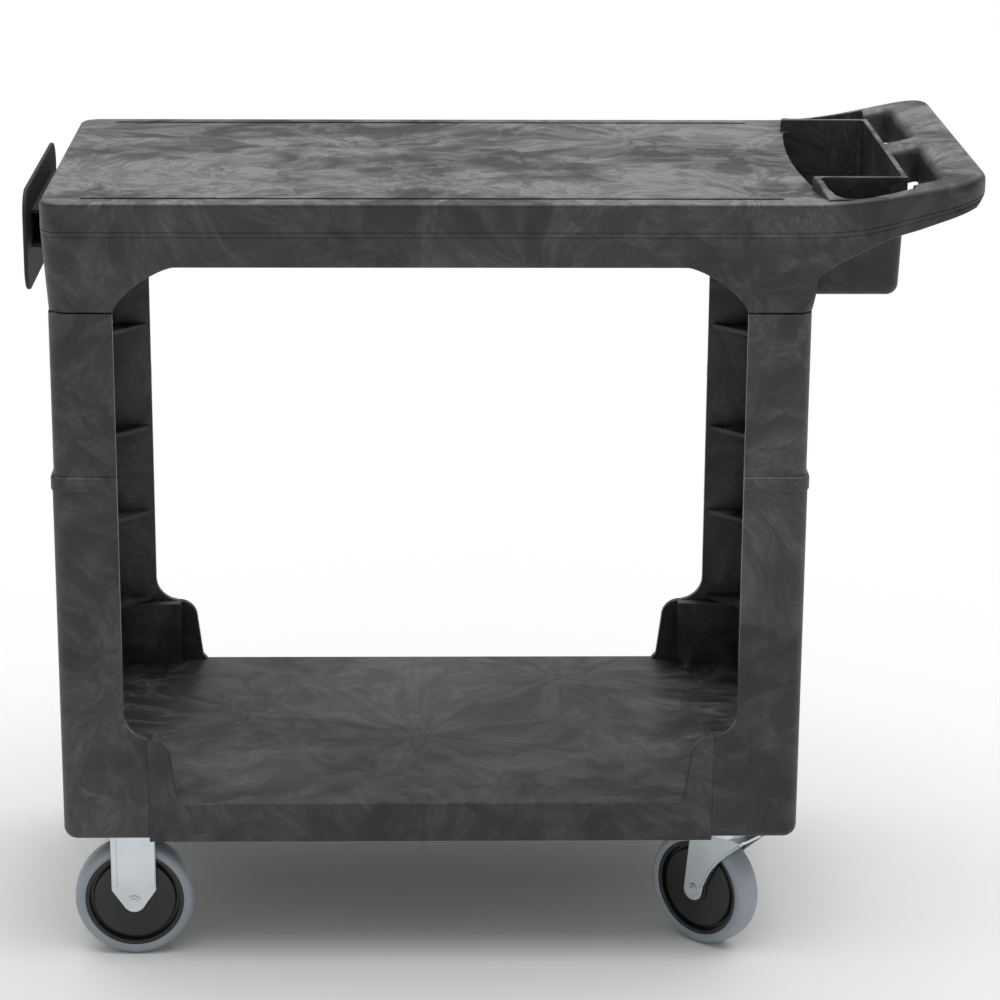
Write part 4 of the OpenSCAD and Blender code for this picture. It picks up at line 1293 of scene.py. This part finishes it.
class TROLLEY_OT_stage(bpy.types.Operator):
    """Lays the floor, sets the light and the camera"""

    bl_idname = "trolley.stage"
    bl_label = "Stage"

    def execute(self, context):
        st = context.scene.trolley_stage
        c = context.scene.trolley_colours
        object_mode()
        bpy.ops.mesh.primitive_plane_add(size=40, location=(0, 0, 0))
        floor = context.object
        floor.name = "floor"
        edit(floor)
        bpy.ops.mesh.select_all(action="SELECT")
        bpy.ops.mesh.subdivide(number_cuts=3)
        object_mode()
        mat, tree, shader, coord = new_material("floor_paint")
        shader.inputs["Base Color"].default_value = (*c.floor, 1)
        shader.inputs["Roughness"].default_value = 0.9
        shader.inputs["Specular IOR Level"].default_value = 0.1
        floor.data.materials.append(mat)
        world = bpy.data.worlds.new("studio")
        world.use_nodes = True
        background = world.node_tree.nodes["Background"]
        background.inputs["Color"].default_value = (1, 1, 1, 1)
        background.inputs["Strength"].default_value = st.sky
        context.scene.world = world
        object_mode()
        bpy.ops.object.light_add(type="SUN", location=(0.4, 0.3, 3.0))
        lamp = context.object
        lamp.name = "key_light"
        lamp.data.energy = st.key
        lamp.data.angle = math.radians(75)
        aim(lamp, lamp.location, (0, 0, 0))
        bpy.ops.object.camera_add()
        camera = context.object
        camera.name = "camera"
        camera.data.lens = st.lens
        camera.data.sensor_width = 36
        x, y, z = st.camera_place
        camera.location = (MID_X + x, y, z)
        sideways = Vector((math.cos(st.pan), -math.sin(st.pan), 0))
        ahead = Vector((math.sin(st.pan), math.cos(st.pan), 0))
        up = Vector((0, 0, 1))
        look = ahead * math.cos(st.tilt) - up * math.sin(st.tilt)
        top = ahead * math.sin(st.tilt) + up * math.cos(st.tilt)
        cx = sideways * math.cos(st.roll) + top * math.sin(st.roll)
        cy = top * math.cos(st.roll) - sideways * math.sin(st.roll)
        rotation = Matrix((cx, cy, -look)).transposed()
        camera.rotation_euler = rotation.to_euler()
        context.scene.camera = camera
        context.scene.view_settings.view_transform = "Standard"
        return {"FINISHED"}


class TROLLEY_PT_panel(bpy.types.Panel):
    """Shows the settings and the build steps of the trolley"""

    bl_label = "Service Trolley"
    bl_idname = "TROLLEY_PT_panel"
    bl_space_type = "VIEW_3D"
    bl_region_type = "UI"
    bl_category = "Trolley"

    def draw(self, context):
        for group in (context.scene.trolley_sizes, context.scene.trolley_colours,
                      context.scene.trolley_stage):
            for name in group.bl_rna.properties.keys():
                if name not in ("rna_type", "name"):
                    self.layout.prop(group, name)
        for operator in OPERATORS:
            self.layout.operator(operator.bl_idname)


GROUPS = {"trolley_sizes": TrolleySizes, "trolley_colours": TrolleyColours,
          "trolley_stage": TrolleyStage}
OPERATORS = (TROLLEY_OT_finishes, TROLLEY_OT_upper_shelf, TROLLEY_OT_lower_shelf,
             TROLLEY_OT_legs, TROLLEY_OT_cord_wrap, TROLLEY_OT_wheels, TROLLEY_OT_rigid_forks,
             TROLLEY_OT_swivel_forks, TROLLEY_OT_hardware, TROLLEY_OT_stage)


def register():
    for cls in (*GROUPS.values(), *OPERATORS, TROLLEY_PT_panel):
        bpy.utils.register_class(cls)
    for name, cls in GROUPS.items():
        setattr(bpy.types.Scene, name, PointerProperty(type=cls))


def unregister():
    for name in GROUPS:
        delattr(bpy.types.Scene, name)
    for cls in reversed((*GROUPS.values(), *OPERATORS, TROLLEY_PT_panel)):
        bpy.utils.unregister_class(cls)


def main():
    """Builds every piece in order."""
    register()
    for operator in OPERATORS:
        family, name = operator.bl_idname.split(".")
        getattr(getattr(bpy.ops, family), name)()


if __name__ == "__main__":
    main()
